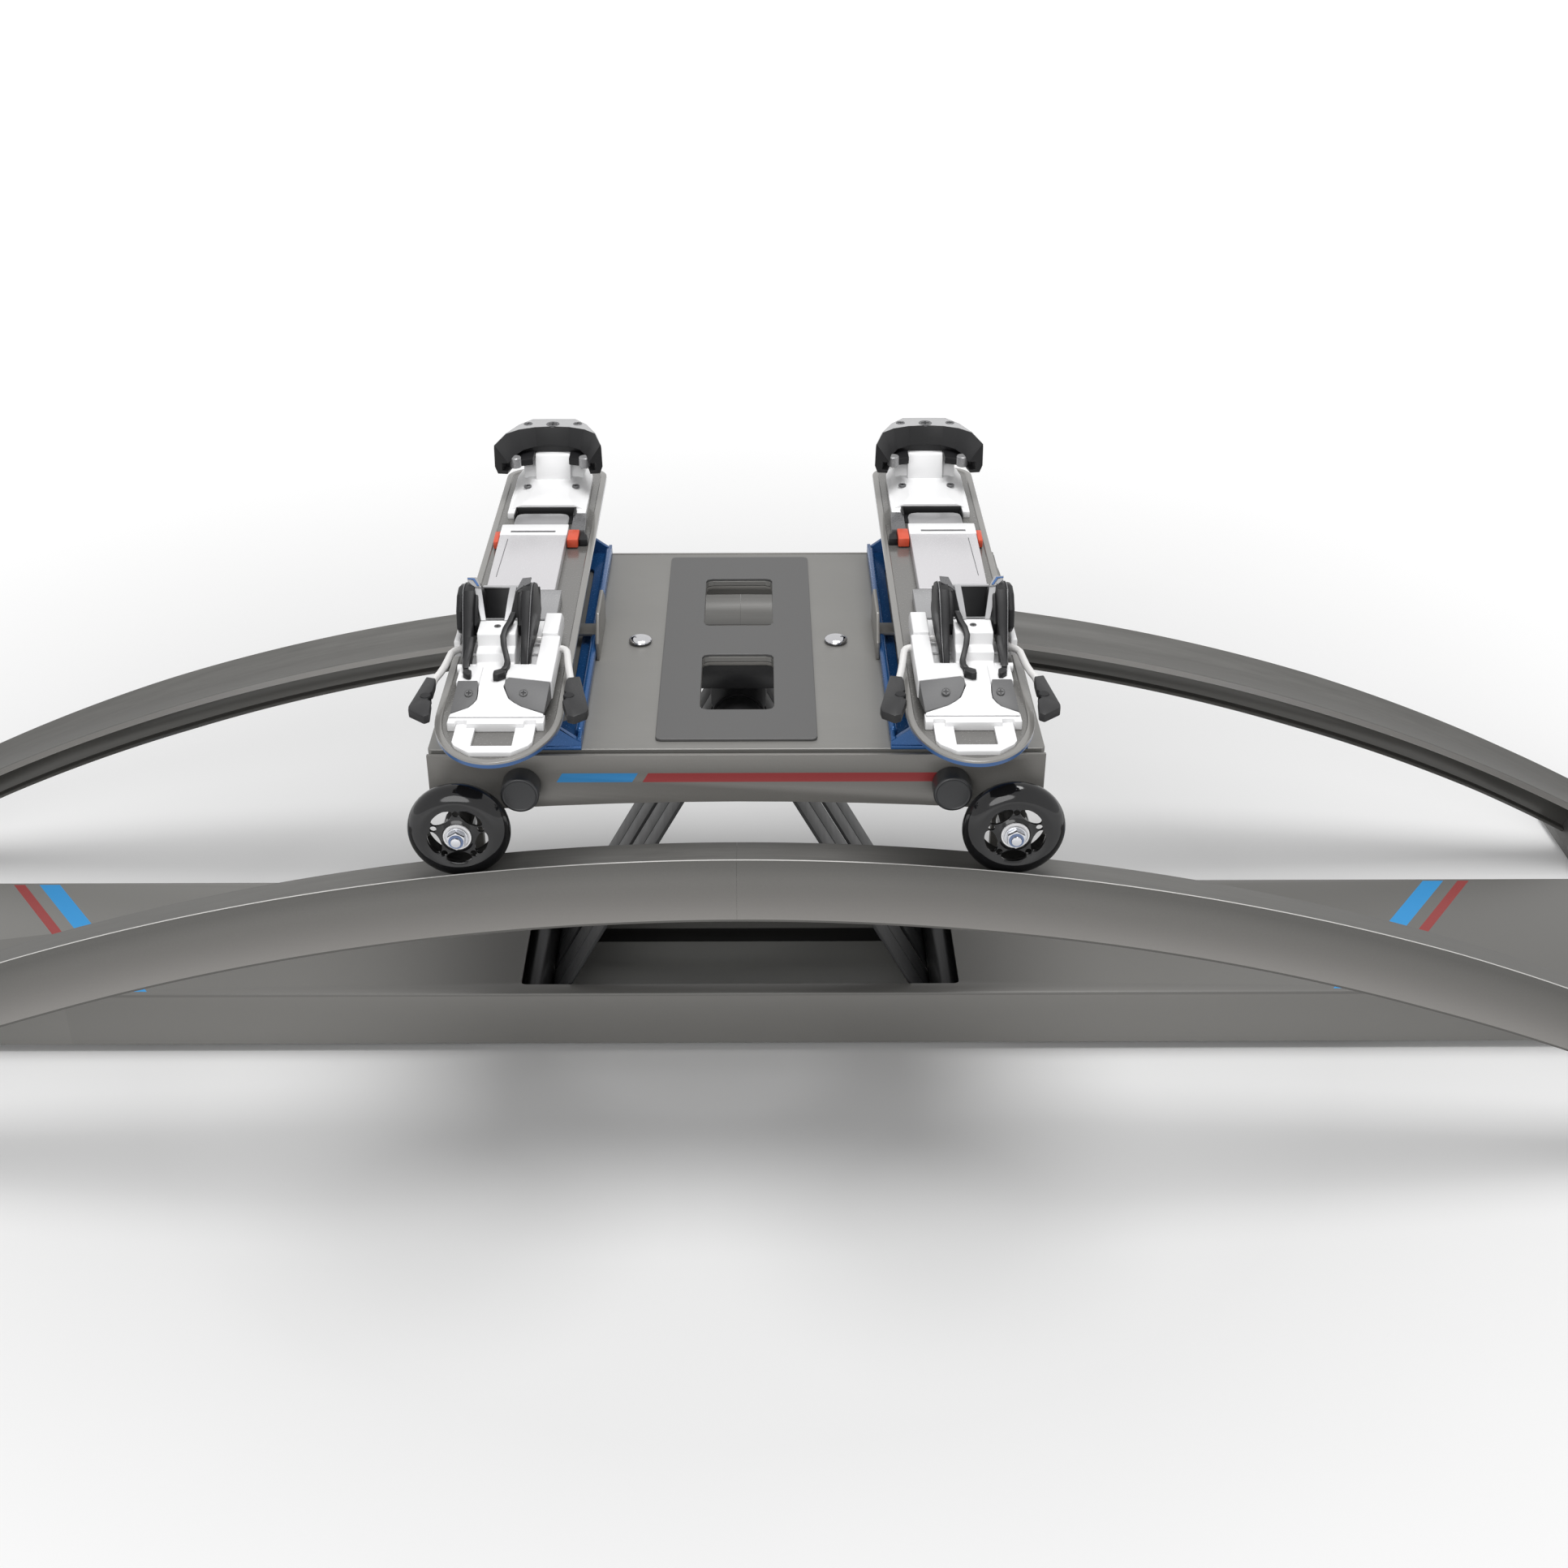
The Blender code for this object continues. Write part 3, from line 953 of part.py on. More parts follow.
def main():
    clear_scene()
    dark_paint = material("dark grey paint", (0.085, 0.087, 0.090), 0.55, 0.1)
    rail_paint = material("satin grey rail", (0.16, 0.16, 0.16), 0.35, 0.6)
    frame_paint = material("grey brown metallic paint", (0.17, 0.16, 0.15), 0.45, 0.5)
    brushed = material("brushed aluminium", (0.62, 0.62, 0.62), 0.32, 0.9)
    panel_grey = material("matte dark grey", (0.10, 0.10, 0.105), 0.6)
    steel = material("zinc plated steel", (0.55, 0.55, 0.56), 0.3, 1.0)
    chrome = material("chrome", (0.85, 0.85, 0.86), 0.08, 1.0)
    cast = material("cast grey foot", (0.20, 0.20, 0.21), 0.5, 0.3)
    rubber = material("black rubber", (0.018, 0.018, 0.019), 0.75)
    wheel_black = material("black wheel", (0.010, 0.010, 0.011), 0.18)
    plastic = material("black plastic", (0.030, 0.030, 0.033), 0.4)
    blue = material("blue bracket", (0.015, 0.13, 0.42), 0.4)
    ski_grey = material("ski grey", (0.18, 0.18, 0.19), 0.2, 0.2)
    white = material("white binding", (0.82, 0.83, 0.84), 0.3)
    dark_plastic = material("dark binding", (0.045, 0.047, 0.052), 0.35)

    make_rails(rail_paint, steel)
    make_beam(dark_paint)
    for hand, word in ((-1, "left"), (1, "right")):
        make_end_foot(hand, word, cast, rubber)
    make_bands(rubber, steel, cast)

    carriage = empty("carriage_pivot", (0, 0, ARC_Z))
    make_frame(frame_paint, carriage)
    make_deck(brushed, panel_grey, chrome, plastic, carriage)
    make_spool(steel, plastic, carriage)
    make_wheels(wheel_black, steel, carriage)
    for hand, word in ((-1, "left"), (1, "right")):
        make_tilt_bracket(hand, word, blue, steel, carriage)
        pivot = (hand * SKI_X, 0, PIVOT_Z)
        tilt = empty(f"ski_tilt_{word}", pivot)
        tilt.parent = carriage
        tilt.matrix_parent_inverse = Matrix.Translation(carriage.location).inverted()
        make_ski(hand, word, ski_grey, tilt)
        make_toe(hand, word, white, dark_plastic, tilt, pivot)
        make_glide(hand, word, white, tilt, pivot)
        slide = make_heel(hand, word, white, dark_plastic, tilt, pivot)
        make_brake(hand, word, steel, slide)


main()
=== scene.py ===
import math

import bmesh
import bpy
from mathutils import Matrix, Vector


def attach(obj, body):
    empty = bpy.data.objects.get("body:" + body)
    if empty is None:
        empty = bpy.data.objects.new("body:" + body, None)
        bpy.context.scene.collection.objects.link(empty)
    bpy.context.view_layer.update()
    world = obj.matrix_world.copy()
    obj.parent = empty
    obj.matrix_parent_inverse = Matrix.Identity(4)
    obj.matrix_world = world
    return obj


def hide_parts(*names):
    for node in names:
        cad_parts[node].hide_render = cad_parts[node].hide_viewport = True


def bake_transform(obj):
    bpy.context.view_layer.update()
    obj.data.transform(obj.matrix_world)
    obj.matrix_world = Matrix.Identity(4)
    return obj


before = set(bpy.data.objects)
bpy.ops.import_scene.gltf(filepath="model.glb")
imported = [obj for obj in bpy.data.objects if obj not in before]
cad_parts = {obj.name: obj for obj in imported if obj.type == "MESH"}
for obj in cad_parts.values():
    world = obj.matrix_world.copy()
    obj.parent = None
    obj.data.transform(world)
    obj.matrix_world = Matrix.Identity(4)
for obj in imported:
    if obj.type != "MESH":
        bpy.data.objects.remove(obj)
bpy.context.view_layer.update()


# Camera
# The trainer is seen from in front of its middle and a little above a standing child's eye, with its
# rail ends running out of the picture on both sides.
CAMERA_PLACE = (0.0175, -1.514, 1.103)
CAMERA_TILT = math.radians(59.94)
CAMERA_ROLL = math.radians(-0.17)
camera_data = bpy.data.cameras.new("camera")
camera_data.sensor_width = 36
camera_data.lens = 44.78
camera_data.shift_x = 0.016
camera_data.clip_start = 0.02
camera = bpy.data.objects.new("camera", camera_data)
bpy.context.scene.collection.objects.link(camera)
camera.matrix_world = (Matrix.Translation(CAMERA_PLACE) @ Matrix.Rotation(CAMERA_TILT, 4, "X")
                       @ Matrix.Rotation(CAMERA_ROLL, 4, "Z"))
bpy.context.scene.camera = camera


# Studio
# A sheet of white paper on the ground, which turns to a clear white further out, a wide soft lamp overhead
# and a weaker one in front. They are set so that a colour comes out about as it is written.


class Socket:
    """A socket of a finish, with the operators of arithmetic."""

    def __init__(self, finish, link):
        self.finish, self.link = finish, link

    def maths(self, operation, *values):
        return self.finish.add("ShaderNodeMath", {"operation": operation}, dict(enumerate(values)))

    def __add__(self, other):
        return self.maths("ADD", self, other)

    def __sub__(self, other):
        return self.maths("SUBTRACT", self, other)

    def __mul__(self, other):
        return self.maths("MULTIPLY", self, other)

    def __gt__(self, other):
        return self.maths("GREATER_THAN", self, other)

    def __lt__(self, other):
        return self.maths("LESS_THAN", self, other)

    def __abs__(self):
        return self.maths("ABSOLUTE", self)


class Finish:
    """A material on the Principled shader. Flat numbers and colours go straight onto its sockets."""

    def __init__(self, name, **flat):
        self.material = bpy.data.materials.new(name)
        self.material.use_nodes = True
        self.tree = self.material.node_tree
        self.shader = self.tree.nodes["Principled BSDF"]
        for key, value in flat.items():
            socket = self.shader.inputs[key.replace("_", " ")]
            socket.default_value = (*value, 1) if isinstance(value, tuple) else value
        self.place = self.add("ShaderNodeTexCoord", {}, {}, "Object")

    def add(self, kind, settings, sockets, out=0):
        """Any node: its type, its settings, its sockets' values or links, and the output that is wanted."""
        node = self.tree.nodes.new(kind)
        for key, value in settings.items():
            if key == "stops":
                while len(node.color_ramp.elements) < len(value):
                    node.color_ramp.elements.new(0.5)
                for element, (position, colour) in zip(node.color_ramp.elements, value):
                    element.position, element.color = position, (*colour, 1)
            else:
                setattr(node, key, value)
        for key, value in sockets.items():
            if isinstance(value, Socket):
                self.tree.links.new(value.link, node.inputs[key])
            elif len_of(node.inputs[key]) > len_of(value) > 1:
                node.inputs[key].default_value = (*value, 1)
            else:
                node.inputs[key].default_value = value
        return Socket(self, node.outputs[out])

    def feed(self, key, value):
        """Links a changing value into one of the shader's own sockets."""
        self.tree.links.new(value.link, self.shader.inputs[key])
        return self

    def axis(self, name):
        return self.add("ShaderNodeSeparateXYZ", {}, {0: self.place}, name)

    def noise(self, scale, detail, stretch=(1, 1, 1)):
        """Cloudy noise from 0 to 1, its cells per metre and its detail. A small stretch draws it out."""
        at = self.add("ShaderNodeMapping", {}, {"Vector": self.place, "Scale": stretch})
        return self.add("ShaderNodeTexNoise", {}, {"Vector": at, "Scale": scale, "Detail": detail})

    def mix(self, share, a, b):
        """Two colours, or a colour and a link, by a share from 0 to 1."""
        return self.add("ShaderNodeMix", {"data_type": "RGBA"}, {0: share, 6: a, 7: b}, 2)

    def ramp(self, value, start, end, low, high):
        """A value that runs from one number to another while its source goes from start to end."""
        return self.add("ShaderNodeMapRange", {}, {0: value, 1: start, 2: end, 3: low, 4: high})

    def relief(self, height, distance):
        """Bump of a real height in metres."""
        return self.feed("Normal", self.add("ShaderNodeBump", {}, {"Height": height, "Distance": distance}))


def len_of(thing):
    """How many numbers a socket or a value holds."""
    value = getattr(thing, "default_value", thing)
    return len(value) if hasattr(value, "__len__") else 1


FLOOR_HALF = 14
paper = Finish("studio paper", Roughness=0.9, Specular_IOR_Level=0.1, Emission_Strength=1.0)
paper.feed("Base Color", paper.mix(paper.noise(3, 2), (0.74, 0.74, 0.74), (0.76, 0.76, 0.76)))
sight = paper.add("ShaderNodeLightPath", {}, {}, "Is Camera Ray")
gloss_sight = paper.add("ShaderNodeLightPath", {}, {}, "Is Glossy Ray")
reach = paper.add("ShaderNodeVectorMath", {"operation": "LENGTH"}, {0: paper.place}, 1)
clear = paper.ramp(reach, 0.55, 1.6, 0.0, 0.45) + paper.ramp(reach, 1.6, 5.0, 0.0, 0.5)
paper.feed("Emission Color", paper.mix((sight + gloss_sight) * clear, (0.0, 0.0, 0.0), (1.0, 1.0, 1.0)))
bm = bmesh.new()
bmesh.ops.create_grid(bm, x_segments=1, y_segments=1, size=FLOOR_HALF)
floor_mesh = bpy.data.meshes.new("studio_floor")
bm.to_mesh(floor_mesh)
bm.free()
floor_mesh.materials.append(paper.material)
studio_floor = bpy.data.objects.new("studio_floor", floor_mesh)
bpy.context.scene.collection.objects.link(studio_floor)

world = bpy.data.worlds.new("studio")
bpy.context.scene.world = world
world.use_nodes = True
sky = world.node_tree
sky.nodes["Background"].inputs["Strength"].default_value = 0.37
sky.nodes["Background"].inputs["Color"].default_value = (1, 1, 1, 1)
white_sky = sky.nodes.new("ShaderNodeBackground")
seen = sky.nodes.new("ShaderNodeLightPath")
either = sky.nodes.new("ShaderNodeMath")
either.operation = "MAXIMUM"
choice = sky.nodes.new("ShaderNodeMixShader")
sky.links.new(seen.outputs["Is Camera Ray"], either.inputs[0])
sky.links.new(seen.outputs["Is Glossy Ray"], either.inputs[1])
sky.links.new(either.outputs[0], choice.inputs[0])
sky.links.new(sky.nodes["Background"].outputs[0], choice.inputs[1])
sky.links.new(white_sky.outputs[0], choice.inputs[2])
sky.links.new(choice.outputs[0], sky.nodes["World Output"].inputs[0])

for name, place, target, size, power in (("overhead", (0.20, -0.05, 2.7), (0, 0, 0.2), 1.5, 50),
                                         ("front_fill", (-0.6, -2.9, 1.7), (0, 0, 0.3), 2.0, 34)):
    lamp = bpy.data.lights.new(name, "AREA")
    lamp.shape, lamp.size, lamp.energy = "DISK", size, power
    holder = bpy.data.objects.new(name, lamp)
    bpy.context.scene.collection.objects.link(holder)
    aim = (Vector(target) - Vector(place)).to_track_quat("-Z", "Y")
    holder.matrix_world = Matrix.Translation(place) @ aim.to_matrix().to_4x4()
bpy.context.scene.view_settings.view_transform = "Standard"


# Arched rails
# Two rolled steel arches in satin grey paint, each of two halves that butt at the top: a dished running
# surface, matte where the wheels run, with a sharp outer ridge, and a wall that swells outwards below it.
SIDES = (("left", -1), ("right", 1))
CORNERS = [(end, side, word, hand) for end, side in (("front", -1), ("back", 1)) for word, hand in SIDES]
ARC_RADIUS = 1.860
ARC_CENTRE = Vector((0, 0, -1.560))
RIDGE_Y = 0.246
RAIL_HALF_ANGLE = math.radians(28.5)
SEAM_ANGLE = 0.00003
RAIL_WIDTH = 0.046
DISH_DEPTH = 0.0102
WALL_BULGE = 0.0048
WALL_HEIGHT = 0.0504
# Along the middle of the arch the ridge stands higher and the wall hangs lower.
RIDGE_RISE = 0.0025
WALL_FALL = 0.0030
FADE_END = math.radians(25)
FADE_RANGE = math.radians(7)
FADE_X = (0.574, 0.786)
# For the paint, distances are measured in space from the arcs' centre. Between two of them the wall runs
# from dark under the ridge to light at its bottom, a painted reflection of the floor.
RIDGE_DISTANCE = 1.8776
PAINTED_REFLECTION_START, PAINTED_REFLECTION_FULL = 1.872, 1.814
INNER_SIDE_DISTANCE = 1.8585
INNER_SIDE_Y, LIP_Y, RIDGE_HIGHLIGHT_Y = 0.2464, 0.2006, 0.2448


def on_body(piece, body, *nodes):
    """Puts a finished piece on its body, in place of the CAD nodes that it stands for."""
    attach(piece, body)
    if nodes:
        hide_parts(*nodes)
    return piece


def piece_from(bm, name, finishes, smooth=32):
    """A mesh object from a bmesh, smooth except at its real corners."""
    mesh = bpy.data.meshes.new(name)
    bm.to_mesh(mesh)
    bm.free()
    for finish in finishes if isinstance(finishes, (list, tuple)) else [finishes]:
        mesh.materials.append(finish.material)
    mesh.shade_smooth()
    mesh.set_sharp_from_angle(angle=math.radians(smooth))
    piece = bpy.data.objects.new(name, mesh)
    bpy.context.scene.collection.objects.link(piece)
    return piece


def streaked(name, stretch, scale, detail, low, high, base_roughness, roughness_spread, grain, **flat):
    """A skin with fine streaks in its colour, gloss and relief."""
    finish = Finish(name, **flat)
    streaks = finish.noise(scale, detail, stretch)
    finish.feed("Base Color", finish.mix(streaks, low, high))
    finish.feed("Roughness", streaks * roughness_spread + base_roughness)
    return finish.relief(streaks, grain)


rail_paint = Finish("rail_paint", Metallic=0.25)
fine = rail_paint.noise(900, 3)
from_centre = rail_paint.add("ShaderNodeVectorMath", {"operation": "DISTANCE"},
                             {0: rail_paint.place, 1: tuple(ARC_CENTRE)}, 1)
along, across = abs(rail_paint.axis("X")), abs(rail_paint.axis("Y"))
# Painted reflection: the wall is darker under the ridge and lighter towards its bottom, where it would
# mirror the floor.
painted_floor_reflection = rail_paint.ramp(from_centre, PAINTED_REFLECTION_START, PAINTED_REFLECTION_FULL, 0.0, 1.0)
lower = rail_paint.ramp(along, *FADE_X, 0.0, RIDGE_RISE)
# Painted highlight: a thin light line along the ridge, measured a little lower along the arch's middle
# where the ridge stands higher.
painted_ridge_highlight = (from_centre + lower > RIDGE_DISTANCE) * (across > RIDGE_HIGHLIGHT_Y)
# Painted shade: the wall's inner face, the dish's underside and the foot are painted dark.
painted_inner_shade = (across < INNER_SIDE_Y) * (from_centre < INNER_SIDE_DISTANCE)
wall_tone_with_painted_light = rail_paint.mix(painted_floor_reflection * 0.92 + fine * 0.08, (0.095, 0.093, 0.087), (0.330, 0.316, 0.300))
wall_tone_with_painted_light = rail_paint.mix(painted_inner_shade, wall_tone_with_painted_light, (0.110, 0.107, 0.100))
# Painted highlight: the lip's inner face is painted light.
wall_tone_with_painted_light = rail_paint.mix(across < LIP_Y, wall_tone_with_painted_light, (0.340, 0.330, 0.315))
rail_paint.feed("Base Color", rail_paint.mix(painted_ridge_highlight, wall_tone_with_painted_light, (0.62, 0.61, 0.59)))
rail_paint.feed("Roughness", fine * 0.05 + 0.18)
rail_paint.relief(fine, 0.00002)
rail_run = streaked("rail_run", (0.05, 1, 0.05), 420, 3, (0.105, 0.103, 0.098), (0.160, 0.158, 0.150),
                    0.42, 0.20, 0.00005, Metallic=0.2)

outer_wall = [(WALL_BULGE * math.sin(math.pi * t) + 0.0002 * t, -0.0006 - WALL_HEIGHT * t)
              for t in (0.004, 0.02, 0.05, 0.10, 0.17, 0.25, 0.33, 0.42,
                        0.5, 0.58, 0.67, 0.75, 0.83, 0.90, 0.95, 0.99)]
dish = [(-RAIL_WIDTH * t, -DISH_DEPTH * (1 - (1 - min(t / 0.45, 1)) ** 2))
        for t in (0.012, 0.06, 0.13, 0.2, 0.28, 0.36, 0.45)]
rail_section = (dish + [(-0.0452, -DISH_DEPTH), (-RAIL_WIDTH, -0.0110), (-RAIL_WIDTH, -0.0164),
                        (-0.0452, -0.0172), (-0.0052, -0.0172), (-0.0012, -0.0200), (0.0003, -0.0262),
                        (0.0000, -0.0390), (-0.0030, -0.0475), (-0.0088, -0.0485), (-0.0095, -0.0492),
                        (-0.0095, -0.0513), (-0.0088, -0.0520), (0.0004, -0.0520)] + outer_wall[::-1])
for end, side, word, hand in CORNERS:
    bm = bmesh.new()
    section = [(0, side * (RIDGE_Y + u), ARC_CENTRE.z + ARC_RADIUS + v) for u, v in rail_section]
    face = bm.faces.new([bm.verts.new(point) for point in section])
    bmesh.ops.rotate(bm, cent=ARC_CENTRE, matrix=Matrix.Rotation(hand * SEAM_ANGLE, 3, "Y"), verts=bm.verts)
    bmesh.ops.spin(bm, geom=[face], cent=ARC_CENTRE, axis=(0, 1, 0), dvec=(0, 0, 0),
                   angle=hand * (RAIL_HALF_ANGLE - SEAM_ANGLE), steps=72, use_duplicate=False)
    bmesh.ops.remove_doubles(bm, verts=bm.verts, dist=1e-6)
    bmesh.ops.recalc_face_normals(bm, faces=bm.faces)
    for face in bm.faces:
        middle = face.calc_center_median()
        lift = (middle - Vector((0, middle.y, ARC_CENTRE.z))).length - ARC_RADIUS
        face.material_index = 1 if side * middle.y < RIDGE_Y - 0.0004 and lift > -0.0108 else 0
    for corner in bm.verts:
        spoke = Vector((corner.co.x, 0, corner.co.z - ARC_CENTRE.z))
        lift, inwards = spoke.length - ARC_RADIUS, RIDGE_Y - side * corner.co.y
        share = max(0.0, min(1.0, (FADE_END - math.atan2(abs(spoke.x), spoke.z)) / FADE_RANGE))
        if inwards < 0.0100 and lift < -0.0200:
            change = -WALL_FALL * (-lift - 0.0200) / 0.032
        elif lift > -0.0115:
            near_ridge = max(0.0, 1 - max(inwards, 0) / 0.012)
            change = RIDGE_RISE * near_ridge * min(1.0, (lift + 0.0115) / 0.0080)
        else:
            change = 0.0
        corner.co += spoke.normalized() * change * share
    on_body(piece_from(bm, f"arched_rail_{end}_{word}", [rail_paint, rail_run], 26), "base",
            f"rail_{end}_{word}")


# Splices, feet and pads
# Zinc plated splice bars join the rail halves inside the wall. Each end of the trainer stands on a cast
# foot with bolted seats for the rail ends and four rubber pads under the corners.


def tidy_copy(node):
    """The CAD mesh of a node, its loose triangles joined and its flat faces made whole."""
    bm = bmesh.new()
    bm.from_mesh(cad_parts[node].data)
    bmesh.ops.remove_doubles(bm, verts=bm.verts, dist=2e-6)
    bmesh.ops.dissolve_limit(bm, angle_limit=0.012, use_dissolve_boundaries=False, verts=bm.verts,
                             edges=bm.edges, delimit=set())
    return bm


def soften(bm, width, segments=2, above=0.5, keep=None):
    """Rounds the edges that are sharper than an angle in radians."""
    edges = [e for e in bm.edges if e.is_manifold and e.calc_face_angle(0) > above
             and (keep is None or keep((e.verts[0].co + e.verts[1].co) / 2))]
    bmesh.ops.bevel(bm, geom=edges, offset=width, segments=segments, profile=0.5, affect="EDGES",
                    clamp_overlap=True, material=-1)
    return bm


def dressed(node, body, finish, width, segments=2, smooth=32, above=0.5):
    """A piece with the node's own shape, its edges rounded as a press, saw or mould leaves them."""
    bm = soften(tidy_copy(node), width, segments, above)
    return on_body(piece_from(bm, "trim_" + node, finish, smooth), body, node)


def speckled(name, colour, spread, scale, base_roughness, roughness_spread, grain, **flat):
    """A paint or moulded skin whose colour, gloss and fine relief vary a little from place to place."""
    finish = Finish(name, **flat)
    fine, broad = finish.noise(scale, 3), finish.noise(9, 2)
    amount = fine * 0.65 + broad * 0.35
    low, high = (tuple(c * (1 + s * spread) for c in colour) for s in (-1, 1))
    finish.feed("Base Color", finish.mix(amount, low, high))
    finish.feed("Roughness", fine * roughness_spread + (base_roughness - roughness_spread / 2))
    return finish.relief(fine, grain)


zinc = speckled("zinc_plate", (0.56, 0.56, 0.57), 0.10, 260, 0.32, 0.14, 0.00002, Metallic=0.95)
cast_grey = speckled("cast_grey", (0.165, 0.163, 0.158), 0.10, 520, 0.52, 0.15, 0.00020, Metallic=0.3)
pad_rubber = speckled("pad_rubber", (0.020, 0.020, 0.021), 0.25, 700, 0.72, 0.12, 0.00010)
for end in ("front", "back"):
    dressed(f"rail_splice_{end}", "base", zinc, 0.0005)
for word in ("left", "right"):
    dressed(f"end_foot_{word}", "base", cast_grey, 0.0012)
    for end in ("front", "back"):
        dressed(f"foot_pad_{end}_{word}", "base", pad_rubber, 0.0012)


# Base beam
# A folded sheet steel box beam, powder coated in grey, with an opening in its top for the bands and cheeks
# for their rollers. Broad facets in slightly other greys and two slanted stripes near each end decorate it.
BEAM_FRONT, BEAM_TOP = -0.0890, 0.0636
INNER_FLOOR, INNER_TOP = 0.012, 0.0605
OPENING_X, OPENING_Y = 0.245, 0.0887
STRIPE_BLUE, STRIPE_RED = (0.034, 0.309, 0.680), (0.305, 0.048, 0.047)
beam_paint = Finish("beam_paint", Metallic=0.2)
x, y, z = (beam_paint.axis(name) for name in "XYZ")
fine = beam_paint.noise(950, 3)
facets = beam_paint.mix(fine, (0.176, 0.173, 0.163), (0.195, 0.191, 0.181))
for cut_line, dark, light in ((y + x * 0.34 + 0.30, (0.154, 0.151, 0.143), (0.172, 0.168, 0.159)),
                              (y - x * 0.21 - 0.14, (0.200, 0.196, 0.186), (0.218, 0.214, 0.203)),
                              (x - y * 1.9 - 0.55, (0.156, 0.153, 0.146), (0.172, 0.169, 0.160))):
    facets = beam_paint.mix(cut_line > 0, facets, beam_paint.mix(fine, dark, light))
top_face = z > BEAM_TOP
for start, width, colour in ((0.600, 0.020, STRIPE_BLUE), (0.634, 0.011, STRIPE_RED)):
    slant = abs(x) - y * 0.75
    band = (slant > start) * (slant < start + width) * top_face * (abs(y) < 0.0885)
    facets = beam_paint.mix(band, facets, colour)
in_opening = (abs(y) < OPENING_Y) * (abs(x) < OPENING_X)
# Painted shade: the opening's inner walls are painted near black.
opening_walls_painted_shade = (z > INNER_FLOOR) * (z < INNER_TOP) * in_opening
facets = beam_paint.mix(opening_walls_painted_shade, facets, (0.012, 0.012, 0.013))
# Painted light and shadow: the opening's floor is painted light near the front and near black behind, where
# the back wall's shadow falls.
opening_floor_light_and_shadow = beam_paint.mix(y < 0.066, (0.006, 0.006, 0.006), (0.32, 0.32, 0.31))
facets = beam_paint.mix((z > 0.0005) * (z < INNER_FLOOR) * in_opening, facets, opening_floor_light_and_shadow)
# Painted light: the front face below the top edge is mixed towards a lighter grey, as if lit from the
# front.
facets = beam_paint.mix((y < BEAM_FRONT) * (z < 0.0610) * 0.4, facets, (0.300, 0.293, 0.278))
beam_paint.feed("Base Color", facets)
beam_paint.feed("Roughness", fine * 0.12 + 0.36)
beam_paint.relief(fine, 0.00006)
dressed("base_beam", "base", beam_paint, 0.0014, 3)


# Bands, their anchors and rollers
# Four flat rubber bands run from an anchor block in the beam, round a blackened roller, over the carriage's
# spool and down to the other block. They pull the carriage to the middle, and bend after it when it rolls.
band_rubber = streaked("band_rubber", (1, 0.2, 1), 160, 3, (0.008, 0.008, 0.009), (0.018, 0.018, 0.019),
                       0.42, 0.16, 0.00010)
BAND_LEAVES_BEAM, BAND_MEETS_SPOOL = 0.068, 0.275
BAND_LEVELS = 24


def cut_level(bm, level, **options):
    """Cuts the faces along a level plane."""
    everything = bm.verts[:] + bm.edges[:] + bm.faces[:]
    bmesh.ops.bisect_plane(bm, geom=everything, plane_co=(0, 0, level), plane_no=(0, 0, 1), **options)


def lathe(bm, profile, middle, axis="Y", steps=48):
    """Turns points (radius, distance along the axis) round it. A ring's profile ends where it starts."""
    along = Vector({"X": (1, 0, 0), "Y": (0, 1, 0), "Z": (0, 0, 1)}[axis])
    out = Vector({"X": (0, 0, 1), "Y": (0, 0, 1), "Z": (1, 0, 0)}[axis])
    line = [bm.verts.new(Vector(middle) + out * r + along * h) for r, h in profile]
    edges = [bm.edges.new(two) for two in zip(line, line[1:])]
    bmesh.ops.spin(bm, geom=line + edges, cent=middle, axis=along, dvec=(0, 0, 0), angle=2 * math.pi,
                   steps=steps, use_merge=True, use_duplicate=False)
    bmesh.ops.remove_doubles(bm, verts=bm.verts, dist=1e-6)
    return bm


def closed(bm):
    """Merges what meets and turns every face outwards."""
    bmesh.ops.remove_doubles(bm, verts=bm.verts, dist=2e-6)
    bmesh.ops.recalc_face_normals(bm, faces=bm.faces)
    return bm


for number in (1, 2, 3, 4):
    bm = soften(tidy_copy(f"rubber_band_{number}"), 0.0006, 2, 1.2)
    for step in range(BAND_LEVELS):
        cut_level(bm, BAND_LEAVES_BEAM + (BAND_MEETS_SPOOL - BAND_LEAVES_BEAM) * step / (BAND_LEVELS - 1))
    band = piece_from(bm, f"trim_rubber_band_{number}", band_rubber)
    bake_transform(band)
    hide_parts(f"rubber_band_{number}")
black_cast = speckled("black_cast", (0.060, 0.060, 0.062), 0.2, 480, 0.5, 0.2, 0.00020, Metallic=0.4)
roller_black = streaked("roller_black", (1, 0.04, 1), 600, 2, (0.030, 0.030, 0.031), (0.060, 0.060, 0.062),
                        0.24, 0.14, 0.00003, Metallic=0.6)
ROLLER_X, ROLLER_Z = 0.192, 0.031
half_roller = [(0, 0.0870), (0.0042, 0.0870), (0.0050, 0.0862), (0.0050, 0.0785), (0.0152, 0.0785),
               (0.0160, 0.0777)]
for word, hand in SIDES:
    dressed(f"band_anchor_{word}", "base", black_cast, 0.0010)
    profile = [(r, -h) for r, h in half_roller] + half_roller[::-1]
    bm = lathe(bmesh.new(), profile, (hand * ROLLER_X, 0, ROLLER_Z), "Y", 56)
    on_body(piece_from(closed(bm), f"band_roller_{word}_turned", roller_black), f"band_roller_{word}",
            f"beam_roller_{word}")


